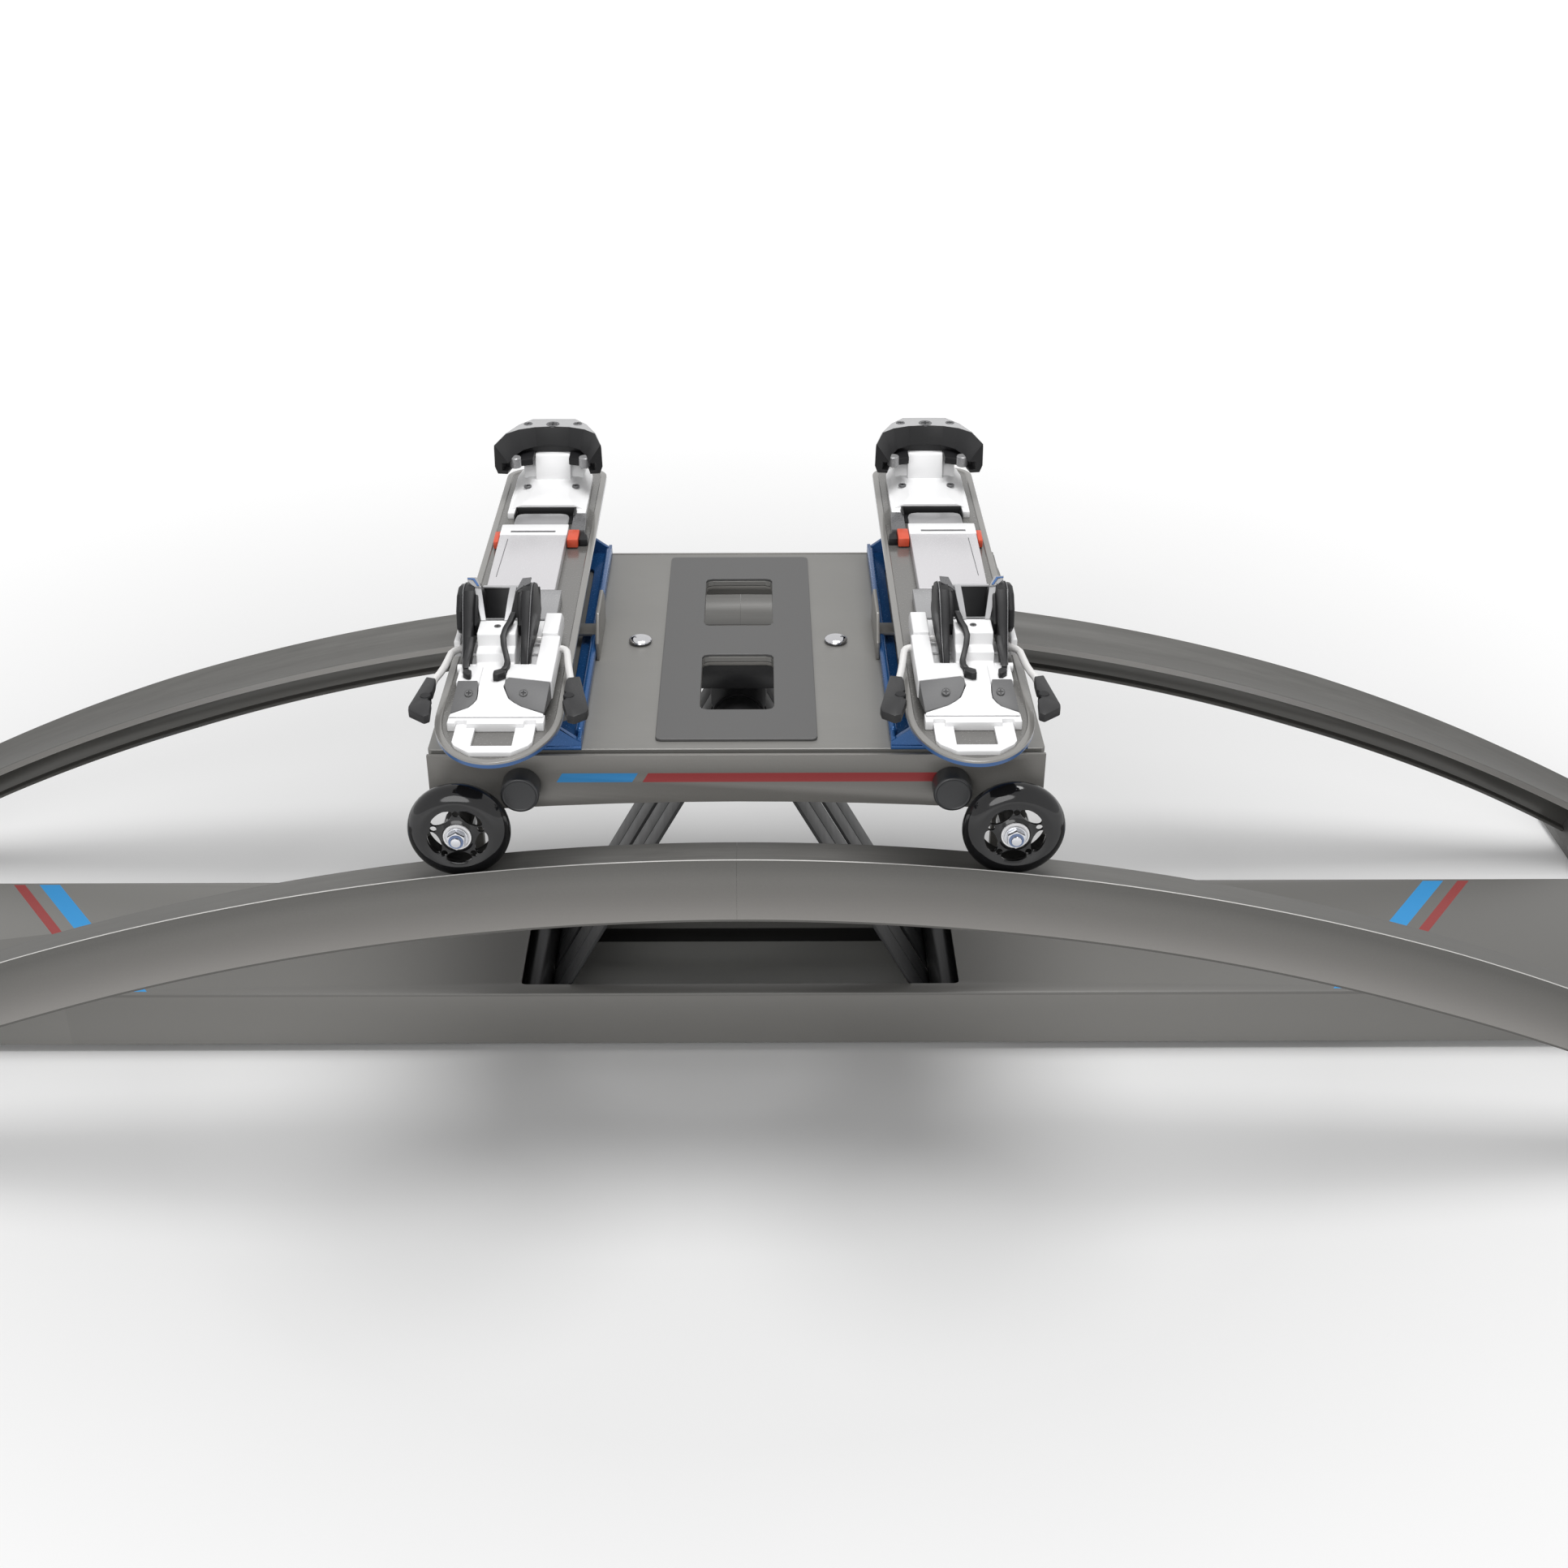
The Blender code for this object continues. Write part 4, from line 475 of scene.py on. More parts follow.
# Carriage frame
# Folded 3 mm sheet with an arched apron front and back, cross tubes under the skis and a wheel bracket at
# each corner, welded together and sprayed satin grey. Two thin stripes run across the front apron.
APRON_FRONT = -0.1960
STRIPE_LOW, STRIPE_HIGH = 0.3425, 0.3505
frame_paint = Finish("frame_paint", Metallic=0.2)
x, y, z = (frame_paint.axis(name) for name in "XYZ")
fine = frame_paint.noise(900, 3)
shade = frame_paint.mix(fine, (0.172, 0.166, 0.155), (0.196, 0.190, 0.178))
for start, end, colour in ((-0.138, -0.079, (0.034, 0.250, 0.560)), (-0.071, 0.158, (0.300, 0.036, 0.038))):
    lean = x - (z - (STRIPE_LOW + STRIPE_HIGH) / 2) * 0.6
    patch = (lean > start) * (lean < end) * (z > STRIPE_LOW) * (z < STRIPE_HIGH) * (y < APRON_FRONT)
    shade = frame_paint.mix(patch, shade, colour)
frame_paint.feed("Base Color", shade)
frame_paint.feed("Roughness", fine * 0.12 + 0.34)
frame_paint.relief(fine, 0.00006)
dressed("carriage_frame", "carriage", frame_paint, 0.0008, 2)


# Deck plate
# A plate of brushed steel, cut from sheet with two windows over the spool. It lies in the frame and is held
# by the bolts beside the centre panel.
brushed = Finish("brushed_deck", Metallic=0.35)
grain = brushed.noise(900, 4, (0.035, 1, 1))
cloud = brushed.noise(14, 3)
tone = grain * 0.55 + cloud * 0.45
brushed.feed("Base Color", brushed.mix(tone, (0.185, 0.181, 0.172), (0.250, 0.246, 0.234)))
brushed.feed("Roughness", grain * 0.16 + 0.36)
brushed.relief(grain, 0.00003)
dressed("deck_plate", "carriage", brushed, 0.0006, smooth=15)


# Centre panel and its bolts
# A darker sheet covers the middle of the deck round the windows. A polished mushroom head bolt stands on
# either side of it and holds the deck to the channel below.
panel_grey = speckled("centre_panel_grey", (0.092, 0.0915, 0.091), 0.05, 1100, 0.44, 0.10, 0.00004,
                      Metallic=0.15)
dressed("centre_panel", "carriage", panel_grey, 0.0004, smooth=15)
polished = speckled("polished_steel", (0.68, 0.68, 0.70), 0.05, 300, 0.10, 0.06, 0.00001, Metallic=1.0)
DECK_TOP = 0.3683
BOLT_X = 0.084
cap = [(0, 0), (0.0046, 0), (0.0046, 0.0012), (0.0092, 0.0012), (0.0098, 0.0016)]
cap += [(0.0100 * math.cos(a), 0.0019 + 0.0036 * math.sin(a))
        for a in (math.pi / 2 * i / 9 for i in range(9))]
for word, hand in SIDES:
    bm = lathe(bmesh.new(), cap + [(0, 0.0055)], (hand * BOLT_X, 0, DECK_TOP), "Z", 56)
    on_body(piece_from(closed(bm), f"deck_bolt_{word}", polished, 40), "carriage", f"dome_bolt_{word}")


# Tube plugs
# Moulded plastic plugs close the cross tubes. Each is pushed into the tube's end and stands out in front of
# it as a round bumper with a flat face.
plug_plastic = speckled("plug_plastic", (0.030, 0.031, 0.033), 0.2, 800, 0.36, 0.12, 0.00006)
TUBE_X, TUBE_END, TUBE_Z = 0.1675, 0.1968, 0.341
plug = [(0, -0.0158), (0.0095, -0.0158), (0.0102, -0.0150), (0.0102, 0), (0.0146, 0), (0.0150, 0.0006)]
plug += [(0.0132 + 0.0018 * math.cos(a), 0.0162 + 0.0018 * math.sin(a))
         for a in (math.pi / 2 * i / 6 for i in range(7))]
plug += [(0.0128, 0.0176), (0.0120, 0.0174), (0, 0.0174)]
for end, side, word, hand in CORNERS:
    profile = [(r, side * (TUBE_END + h)) for r, h in plug]
    bm = lathe(bmesh.new(), profile, (hand * TUBE_X, 0, TUBE_Z), "Y", 56)
    on_body(piece_from(closed(bm), f"tube_bumper_{end}_{word}", plug_plastic), "carriage",
            f"tube_plug_{end}_{word}")


# Hanger and spool
# A blackened steel channel between the cross tubes, with a web down to the axle of the black spool that the
# bands hang on.
spool_black = speckled("spool_black", (0.014, 0.014, 0.015), 0.3, 500, 0.30, 0.10, 0.00004)
dressed("spool_hanger", "carriage", spool_black, 0.0007)
SPOOL_Z = 0.295
half_spool = [(0.0060, 0.0048), (0.0250, 0.0048)]
for middle in (0.0232, 0.0600):
    for way in (-1, 1):
        edge = middle + way * 0.0178
        lip = [(0.0250, edge + way * 0.0003), (0.0247, edge), (0.0208, edge), (0.0200, edge - way * 0.0008)]
        half_spool += lip if way < 0 else lip[::-1]
half_spool += [(0.0250, 0.0789), (0.0244, 0.0795), (0.0060, 0.0795), (0.0060, 0.0830), (0.0055, 0.0835),
               (0, 0.0835)]
bm = lathe(bmesh.new(), [(r, -h) for r, h in reversed(half_spool)] + half_spool, (0, 0, SPOOL_Z), "Y", 64)
on_body(piece_from(closed(bm), "band_spool_turned", spool_black), "spool", "band_spool")


# Running wheels
# Glossy cast urethane on a dished plastic hub with five oval openings and five small holes, turning on a
# steel bearing that stands proud of the hub. A bolt, a washer and a lock nut hold each on its bracket.
wheel_gloss = speckled("wheel_gloss", (0.011, 0.011, 0.012), 0.2, 240, 0.09, 0.05, 0.00001)
bearing_steel = speckled("bearing_steel", (0.93, 0.93, 0.94), 0.03, 700, 0.28, 0.10, 0.00002)
bolt_steel = speckled("bolt_steel", (0.62, 0.63, 0.66), 0.06, 700, 0.22, 0.10, 0.00002, Metallic=0.9)
nut_ring = speckled("nut_ring", (0.16, 0.22, 0.38), 0.1, 900, 0.4, 0.1, 0.00003)
WHEEL_PLACE = Vector((0.2144, 0.226, 0.3179))


def shape_in(bm, outline, low, high, axis="Z"):
    """A closed outline, pulled along an axis: its points are (y, z) for X, (x, z) for Y, (x, y) for Z."""
    at = {"X": lambda u, v, w: (w, u, v), "Y": lambda u, v, w: (u, w, v),
          "Z": lambda u, v, w: (u, v, w)}[axis]
    face = bm.faces.new([bm.verts.new(at(u, v, low)) for u, v in outline])
    grown = bmesh.ops.extrude_face_region(bm, geom=[face])["geom"]
    moved = [g for g in grown if isinstance(g, bmesh.types.BMVert)]
    bmesh.ops.translate(bm, verts=moved, vec=Vector(at(0, 0, high)) - Vector(at(0, 0, low)))
    return moved


def cut_from(bm, cutter):
    """What is left of a closed shape when another is taken away."""
    pieces = []
    for shape, name in ((bm, "whole"), (cutter, "cutter")):
        mesh = bpy.data.meshes.new(name)
        closed(shape).to_mesh(mesh)
        shape.free()
        pieces.append(bpy.data.objects.new(name, mesh))
        bpy.context.scene.collection.objects.link(pieces[-1])
    taken = pieces[0].modifiers.new("cut", "BOOLEAN")
    taken.operation, taken.solver, taken.object = "DIFFERENCE", "EXACT", pieces[1]
    bpy.context.view_layer.update()
    mesh = bpy.data.meshes.new_from_object(pieces[0].evaluated_get(bpy.context.evaluated_depsgraph_get()))
    result = bmesh.new()
    result.from_mesh(mesh)
    for piece in pieces:
        bpy.data.objects.remove(piece, do_unlink=True)
    bmesh.ops.remove_doubles(result, verts=result.verts, dist=2e-6)
    return result


def moved_copy(bm, matrix):
    """A copy of a bmesh, moved or mirrored."""
    copy = bm.copy()
    bmesh.ops.transform(copy, matrix=matrix, verts=copy.verts)
    if matrix.determinant() < 0:
        bmesh.ops.reverse_faces(copy, faces=copy.faces)
    return copy


def ring_of(half):
    """A ring's whole profile from its positive half, drawn from the inside out."""
    return [(half[0][0], -half[0][1])] + half + [(r, -h) for r, h in half[::-1]]


hub = [(0.0110, 0.0108), (0.0118, 0.0112), (0.0126, 0.0108), (0.0136, 0.0102), (0.0148, 0.0098),
       (0.0166, 0.0097), (0.0190, 0.0098), (0.0214, 0.0102), (0.0236, 0.0108), (0.0256, 0.0113),
       (0.0272, 0.0117), (0.0284, 0.0119)]
tread = [(0.0263 + 0.0137 * math.sin(a), 0.0120 * math.cos(a))
         for a in (math.pi * (0.08 + 0.84 * i / 22) for i in range(23))]
hollow = [(0.0284, 0.0117), (0.0270, 0.0112), (0.0262, 0.0100), (0.0256, -0.0066), (0.0250, -0.0074),
          (0.0140, -0.0074), (0.0134, -0.0066), (0.0126, 0.0108), (0.0118, 0.0112)]
section = hub[:1] + [(r, -h) for r, h in hub + tread] + hollow
bm = lathe(bmesh.new(), section, (0, 0, 0), "Y", 80)
openings = bmesh.new()
for i in range(5):
    for angle, size, reach in ((-math.pi / 2 + i * math.tau / 5, (0.0100, 0.0048), 0.0191),
                               (math.pi / 2 + i * math.tau / 5, (0.0026, 0.0026), 0.0193)):
        across = Vector((-math.sin(angle), math.cos(angle)))
        out = Vector((math.cos(angle), math.sin(angle)))
        ring = [out * reach + across * size[0] * math.cos(t) + out * size[1] * math.sin(t)
                for t in (math.tau * k / 28 for k in range(28))]
        shape_in(openings, [tuple(p) for p in ring], -0.02, 0.02, "Y")
wheel_shape = soften(cut_from(bm, openings), 0.0005, 2, 1.0,
                     lambda m: 0.0135 < math.hypot(m.x, m.z) < 0.0250)
race = [(0.0045, 0.0122), (0.0063, 0.0122), (0.0066, 0.0117), (0.0070, 0.0113), (0.0093, 0.0113),
        (0.0096, 0.0117), (0.0099, 0.0122), (0.0105, 0.0122), (0.0109, 0.0118)]
bearing_shape = closed(lathe(bmesh.new(), ring_of(race), (0, 0, 0), "Y", 56))
for end, side, word, hand in CORNERS:
    place = (Matrix.Translation((hand * WHEEL_PLACE.x, side * WHEEL_PLACE.y, WHEEL_PLACE.z))
             @ Matrix.Scale(-side, 4, (0, 1, 0)))
    body = f"wheel_{end}_{word}"
    wheel = piece_from(moved_copy(wheel_shape, place), f"running_wheel_{end}_{word}", wheel_gloss, 28)
    on_body(wheel, body, body)
    bearing = piece_from(moved_copy(bearing_shape, place), f"wheel_bearing_{end}_{word}", bearing_steel)
    on_body(bearing, body)


# Wheel nuts
# A steel washer and a hexagon lock nut hold each running wheel on its bolt. A blue-grey plastic ring in the
# nut grips the thread, and the bolt's end shows.


def hexagon(bm, radius, low, high, middle):
    """A hexagon on the Y axis."""
    centre = Matrix.Translation((middle[0], (low + high) / 2, middle[2]))
    bmesh.ops.create_cone(bm, cap_ends=True, cap_tris=False, segments=6, radius1=radius, radius2=radius,
                          depth=abs(high - low), matrix=centre @ Matrix.Rotation(math.pi / 2, 4, "X"))
    return bm


HEXAGON_RADIUS = 0.0076
washer = [(0.0046, 0.2383), (0.0084, 0.2383), (0.0087, 0.2386), (0.0087, 0.2393), (0.0084, 0.2396),
          (0.0046, 0.2396), (0.0046, 0.2383)]
nut_insert = [(0.0043, 0.2440), (0.0058, 0.2440), (0.0058, 0.2452), (0.0053, 0.2457), (0.0043, 0.2457),
              (0.0043, 0.2440)]
bolt_end = [(0, 0.2440), (0.0042, 0.2440), (0.0042, 0.2462), (0.0038, 0.2469), (0.0030, 0.2472),
            (0, 0.2472)]
for end, side, word, hand in CORNERS:
    middle = (hand * WHEEL_PLACE.x, 0, WHEEL_PLACE.z)
    bm = hexagon(lathe(bmesh.new(), washer, middle, "Y", 40), HEXAGON_RADIUS, 0.2396, 0.2446, middle)
    bm = soften(closed(bm), 0.0005, 2)
    if side < 0:
        bm = moved_copy(bm, Matrix.Scale(-1, 4, (0, 1, 0)))
    on_body(piece_from(bm, f"wheel_nut_{end}_{word}", bolt_steel), "carriage")
    for name, profile, finish in (("wheel_nut_ring", nut_insert, nut_ring),
                                  ("wheel_bolt_end", bolt_end, bolt_steel)):
        bm = lathe(bmesh.new(), [(r, side * h) for r, h in profile], middle, "Y", 40)
        on_body(piece_from(closed(bm), f"{name}_{end}_{word}", finish), "carriage")


# Hold-down rollers
# Under each rail's lip runs a small steel roller on its own stud with a hexagon head, so the carriage can't
# lift off.
LOW_PLACE = Vector((0.20749, 0.2115, 0.25739))
rim = [(0.0043, 0.0052), (0.0060, 0.0055), (0.0066, 0.0050), (0.0104, 0.0050), (0.0110, 0.0055),
       (0.0123, 0.0055), (0.0130, 0.0048)]
for end, side, word, hand in CORNERS:
    middle = (hand * LOW_PLACE.x, side * LOW_PLACE.y, LOW_PLACE.z)
    bm = lathe(bmesh.new(), ring_of(rim), middle, "Y", 48)
    on_body(piece_from(closed(bm), f"lip_roller_{end}_{word}", bearing_steel), f"hold_down_{end}_{word}",
            f"hold_down_roller_{end}_{word}")
    bm = hexagon(bmesh.new(), HEXAGON_RADIUS, side * 0.2173, side * 0.2216, middle)
    bolt = piece_from(soften(closed(bm), 0.0005, 2), f"lip_roller_bolt_{end}_{word}", bolt_steel)
    on_body(bolt, "carriage")


# Tilt brackets and cross straps
# Blue painted steel: a base plate with long rolled ribs under each ski and a triangular gusset at both ends
# that carries the hinge pin. A grey strap ties the ribs at the middle and ends in an upright fin.
tilt_blue = speckled("tilt_blue", (0.016, 0.084, 0.245), 0.12, 600, 0.26, 0.10, 0.00004, Metallic=0.3)
strap_grey = speckled("strap_grey", (0.240, 0.232, 0.218), 0.08, 700, 0.30, 0.10, 0.00004, Metallic=0.4)
SKI_MIDDLE = 0.173
RIB_HALF_LENGTH = 0.178
BRACKET_TOP = 0.3712
for word, hand in SIDES:
    dressed(f"tilt_bracket_{word}", "carriage", tilt_blue, 0.0010, 3, above=0.9)
    dressed(f"cross_strap_{word}", "carriage", strap_grey, 0.0007)
    # Rolled ribs with a rounded back and rounded ends stand on the base plate, tall ones outside.
    for number, (offset, half, high) in enumerate(((-0.0505, 0.0030, 0.3802), (0.0505, 0.0030, 0.3802),
                                                   (-0.0275, 0.0075, 0.3768), (0.0275, 0.0075, 0.3768)), 1):
        bm = bmesh.new()
        rib = [(-half, BRACKET_TOP), (-half, high - half * 0.7), (-half * 0.6, high - half * 0.2),
               (0, high), (half * 0.6, high - half * 0.2), (half, high - half * 0.7), (half, BRACKET_TOP)]
        middle = hand * SKI_MIDDLE + offset
        shape_in(bm, [(middle + u, v) for u, v in rib], -RIB_HALF_LENGTH, RIB_HALF_LENGTH, "Y")
        bm = soften(closed(bm), 0.0022, 3, 1.2)
        on_body(piece_from(bm, f"bracket_rib_{word}_{number}", tilt_blue, 50), "carriage")


# Ski plates
# Short stiff skis of a laminated board: a grey top sheet under clear gloss with a raised rim round a sunken
# middle, on a thin blue base. Hinge lugs are screwed on underneath.
RIM_TOP = 0.4300
RIM_STEP = 0.0009
SKI_FACE = RIM_TOP - RIM_STEP
ski_top = speckled("ski_top", (0.160, 0.156, 0.148), 0.07, 500, 0.26, 0.10, 0.00002, Metallic=0.35,
                   Coat_Roughness=0.06, Coat_Weight=0.5)
ski_rim = speckled("ski_rim", (0.255, 0.249, 0.237), 0.05, 500, 0.22, 0.08, 0.00002, Metallic=0.35,
                   Coat_Roughness=0.06, Coat_Weight=0.5)
ski_blue = speckled("ski_blue", (0.036, 0.110, 0.290), 0.08, 500, 0.22, 0.08, 0.00002)


def both_sides(outline):
    """An outline's right half and its mirror image."""
    return outline + [(-u, v) for u, v in reversed(outline)]


def mirrored_pair(name, body, build, finishes, *nodes, smooth=32):
    """A piece drawn for the left ski, inboard to the right, about its middle line, and its mirror image."""
    for word, hand in (("left", 1), ("right", -1)):
        bm = bmesh.new()
        build(bm)
        bmesh.ops.translate(bm, vec=(-SKI_MIDDLE, 0, 0), verts=bm.verts)
        if hand < 0:
            bmesh.ops.scale(bm, vec=(-1, 1, 1), verts=bm.verts)
            bmesh.ops.reverse_faces(bm, faces=bm.faces)
        piece = piece_from(bm, f"{name}_{word}", finishes, smooth)
        on_body(piece, f"{body}_{word}", *(f"{node}_{word}" for node in nodes))


def ski_plan(inset=0.0):
    """Plan of a ski: a half ellipse at the near end, small round corners at the far end."""
    half, reach, corner = 0.047 - inset, 0.075 - inset * 0.3, 0.020
    near, far = -0.3205 + inset, 0.253 - inset
    plan = [(half * math.cos(a), near + reach + reach * math.sin(a))
            for a in (math.pi + math.pi * i / 40 for i in range(41))]
    right = [(half - corner + corner * math.cos(a), far - corner + corner * math.sin(a))
             for a in (math.pi / 2 * i / 8 for i in range(9))]
    return plan + both_sides(right)


def ski_board(bm):
    shape_in(bm, ski_plan(), 0.4282, RIM_TOP)
    closed(bm)
    top = [f for f in bm.faces if f.normal.z > 0.9]
    bmesh.ops.inset_region(bm, faces=top, thickness=0.0050, depth=0, use_even_offset=True)
    bmesh.ops.inset_region(bm, faces=top, thickness=RIM_STEP, depth=-RIM_STEP, use_even_offset=True)
    soften(bm, 0.0007, 2, 1.0, lambda m: m.z > RIM_TOP - 0.0001)
    for face in bm.faces:
        face.material_index = 0 if face.normal.z > 0.9 and face.calc_center_median().z < 0.4296 else 1


def ski_base(bm):
    shape_in(bm, ski_plan(0.0003), 0.4250, 0.4281)
    soften(closed(bm), 0.0005, 2, 1.0, lambda m: m.z < 0.4251)


mirrored_pair("ski_board", "ski", ski_board, [ski_top, ski_rim], "ski_plate", smooth=24)
mirrored_pair("ski_base_layer", "ski", ski_base, ski_blue)
for word in ("left", "right"):
    bm = tidy_copy(f"ski_plate_{word}")
    cut_level(bm, 0.4254, clear_outer=True, dist=1e-7)
    bmesh.ops.holes_fill(bm, edges=[e for e in bm.edges if e.is_boundary])
    touching = {v for v in bm.verts if v.co.z < 0.4245}
    grown = True
    while grown:
        more = {e.other_vert(v) for v in touching for e in v.link_edges} - touching
        grown = bool(more)
        touching |= more
    bmesh.ops.delete(bm, geom=[v for v in bm.verts if v not in touching], context="VERTS")
    on_body(piece_from(soften(closed(bm), 0.0006, 2), f"ski_lugs_{word}", zinc), f"ski_{word}")


# Toe base
# Injection moulded white plastic, screwed to the ski: a thin flange and a raised middle with sloped sides,
# and a dark lined slot at its near end that the glide plate's tongue slides into.
binding_white = speckled("binding_white", (0.80, 0.80, 0.805), 0.02, 1300, 0.36, 0.12, 0.00005)
cap_grey = speckled("cap_grey", (0.40, 0.40, 0.405), 0.03, 1300, 0.32, 0.12, 0.00005)
binding_dark = speckled("binding_dark", (0.020, 0.020, 0.021), 0.15, 1100, 0.42, 0.12, 0.00004,
                        Specular_IOR_Level=0.25)
liner_grey = speckled("liner_grey", (0.110, 0.110, 0.114), 0.10, 1100, 0.28, 0.10, 0.00004)
# Black plastic parts, and painted shade in screw recesses and the toe slot.
black_and_painted_shade = speckled("black_plastic", (0.008, 0.008, 0.009), 0.2, 900, 0.45, 0.12, 0.00004,
                      Specular_IOR_Level=0.25)


def merged(bm, part, index=None):
    """Adds one bmesh to another."""
    if index is not None:
        for face in part.faces:
            face.material_index = index
    mesh = bpy.data.meshes.new("merged")
    part.to_mesh(mesh)
    part.free()
    bm.from_mesh(mesh)
    bpy.data.meshes.remove(mesh)
    return bm


def drawn(outline, low, high, axis, width, segments=2, above=0.5):
    """A closed outline pulled along an axis, its edges rounded."""
    part = bmesh.new()
    shape_in(part, outline, low, high, axis)
    closed(part)
    return soften(part, width, segments, above) if width else part


def block(bm, x, y, z, width, segments=2, index=None):
    """A rounded block between pairs of x, y and z."""
    plan = [(x[0], y[0]), (x[1], y[0]), (x[1], y[1]), (x[0], y[1])]
    return merged(bm, drawn(plan, *z, "Z", width, segments), index)


def toe_base(bm):
    plan = [(0.0268, 0.1362), (0.0268, 0.1285), (0.0352, 0.1285), (0.0355, 0.1650), (0.0350, 0.1950),
            (0.0352, 0.2195), (0.0325, 0.2370), (0.0230, 0.2410)]
    merged(bm, drawn(both_sides(plan), SKI_FACE, 0.4350, "Z", 0.0007, 2, 0.8))
    middle = bmesh.new()
    low = [(0.0330, 0.1385), (0.0335, 0.1600), (0.0330, 0.1860), (0.0325, 0.2100), (0.0290, 0.2340)]
    top = shape_in(middle, both_sides(low), 0.4345, 0.4388)
    for corner in top:
        corner.co.x *= 0.52 if 0.15 < corner.co.y < 0.20 else 0.72
    merged(bm, soften(closed(middle), 0.0005, 2, 0.25))


mirrored_pair("toe_base_moulding", "ski", toe_base, binding_white, "toe_base", smooth=24)


def toe_slot_liner(bm):
    plan = [(0.0266, 0.1165), (0.0266, 0.1360), (-0.0280, 0.1360), (-0.0280, 0.1165), (-0.0268, 0.1165),
            (-0.0268, 0.1344), (0.0248, 0.1344), (0.0248, 0.1165)]
    merged(bm, drawn(plan, SKI_FACE, 0.4378, "Z", 0.0004), 0)
    # Painted shade: the slot's floor is a near black block.
    block(bm, (-0.0267, 0.0247), (0.1165, 0.1343), (SKI_FACE, 0.4300), 0, 2, 1)


mirrored_pair("toe_slot_liner", "ski", toe_slot_liner, [binding_dark, black_and_painted_shade])


# Toe head
# A dark moulded horseshoe whose wings reach forward round the boot's toe, faceted inside, with a light cap
# on top that three cross head screws hold, on a white riser. A roller turns in a slot in each wing.
CAP_TOP = 0.4850
SCREW_PLACES = ((-0.0230, 0.2232, 0.0042), (0.0, 0.2225, 0.0062), (0.0230, 0.2232, 0.0042))


def skinned(bm, rings):
    """A closed skin through rings of points, one after another."""
    corners = [[bm.verts.new(point) for point in ring] for ring in rings]
    loops = [[bm.edges.new(two) for two in zip(ring, ring[1:] + ring[:1])] for ring in corners]
    for ring in (corners[0], corners[-1]):
        bm.faces.new(ring)
    for a, b in zip(loops, loops[1:]):
        bmesh.ops.bridge_loops(bm, edges=a + b)
    return closed(bm)


def toe_head(bm):
    outer = [(0.0487, 0.1680), (0.0417, 0.1995), (0.0318, 0.2245), (0.0205, 0.2395), (0.0, 0.2400)]
    inner = [(0.0480, 0.1668), (0.0408, 0.1972), (0.0302, 0.2085), (0.0160, 0.2148), (0.0, 0.2169)]
    lower = [(0.0362, 0.1662), (0.0330, 0.1840), (0.0262, 0.2000), (0.0146, 0.2100), (0.0, 0.2132)]
    depth = [0.0065, 0.0080, 0.0085, 0.0040, 0.0004]
    rings = []
    for hand in (1, -1):
        for i in range(5) if hand > 0 else range(3, -1, -1):
            o, t, m = (Vector((hand * p[i][0], p[i][1])) for p in (outer, inner, lower))
            away = (o - m).normalized()
            chamfer = o + (t - o).normalized() * min(0.0028, (t - o).length * 0.5)
            deep = m + away * depth[i]
            ring = [(*o, 0.4815), (*chamfer, CAP_TOP), (*t, CAP_TOP), (*m, 0.4680), (*deep, 0.4676),
                    (*deep, 0.4606), (*(m + away * 0.0010), 0.4600), (*(m + away * 0.0016), 0.4575),
                    (*(o - away * 0.0022), 0.4575), (*(o + away * 0.0004), 0.4640)]
            rings.append(ring)
    for face in skinned(bm, rings).faces:
        middle = face.calc_center_median()
        face.material_index = 1 if middle.z > 0.4820 and face.normal.z > 0.3 else 0
    soften(bm, 0.0006, 2, 0.35)
    # A black box under each wing carries its roller.
    for hand in (-1, 1):
        box = [(0.0400, 0.1800), (0.0165, 0.1890), (0.0165, 0.2100), (0.0330, 0.2100), (0.0400, 0.1960)]
        merged(bm, drawn([(hand * u, v) for u, v in box], 0.4578, 0.4640, "Z", 0.0006), 2)


def toe_riser(bm):
    tall = [(0.2010, 0.4376), (0.2062, 0.4590), (0.2080, 0.4612), (0.2340, 0.4612), (0.2400, 0.4520),
            (0.2400, 0.4376)]
    wide = [(0.2080, 0.4376), (0.2130, 0.4480), (0.2300, 0.4560), (0.2400, 0.4500), (0.2400, 0.4376)]
    for side, half in ((tall, 0.0162), (wide, 0.0280)):
        merged(bm, drawn(side, -half, half, "X", 0.0008))


wing_roller_grey = speckled("wing_roller_grey", (0.300, 0.300, 0.305), 0.10, 900, 0.26, 0.10, 0.00003,
                            Metallic=0.3)


def wing_rollers(bm):
    for hand in (-1, 1):
        lathe(bm, [(0, 0.4588), (0.0048, 0.4588), (0.0054, 0.4594), (0.0054, 0.4678), (0.0048, 0.4684),
                   (0, 0.4684)], (hand * 0.0318, 0.1815, 0), "Z", 32)
    closed(bm)


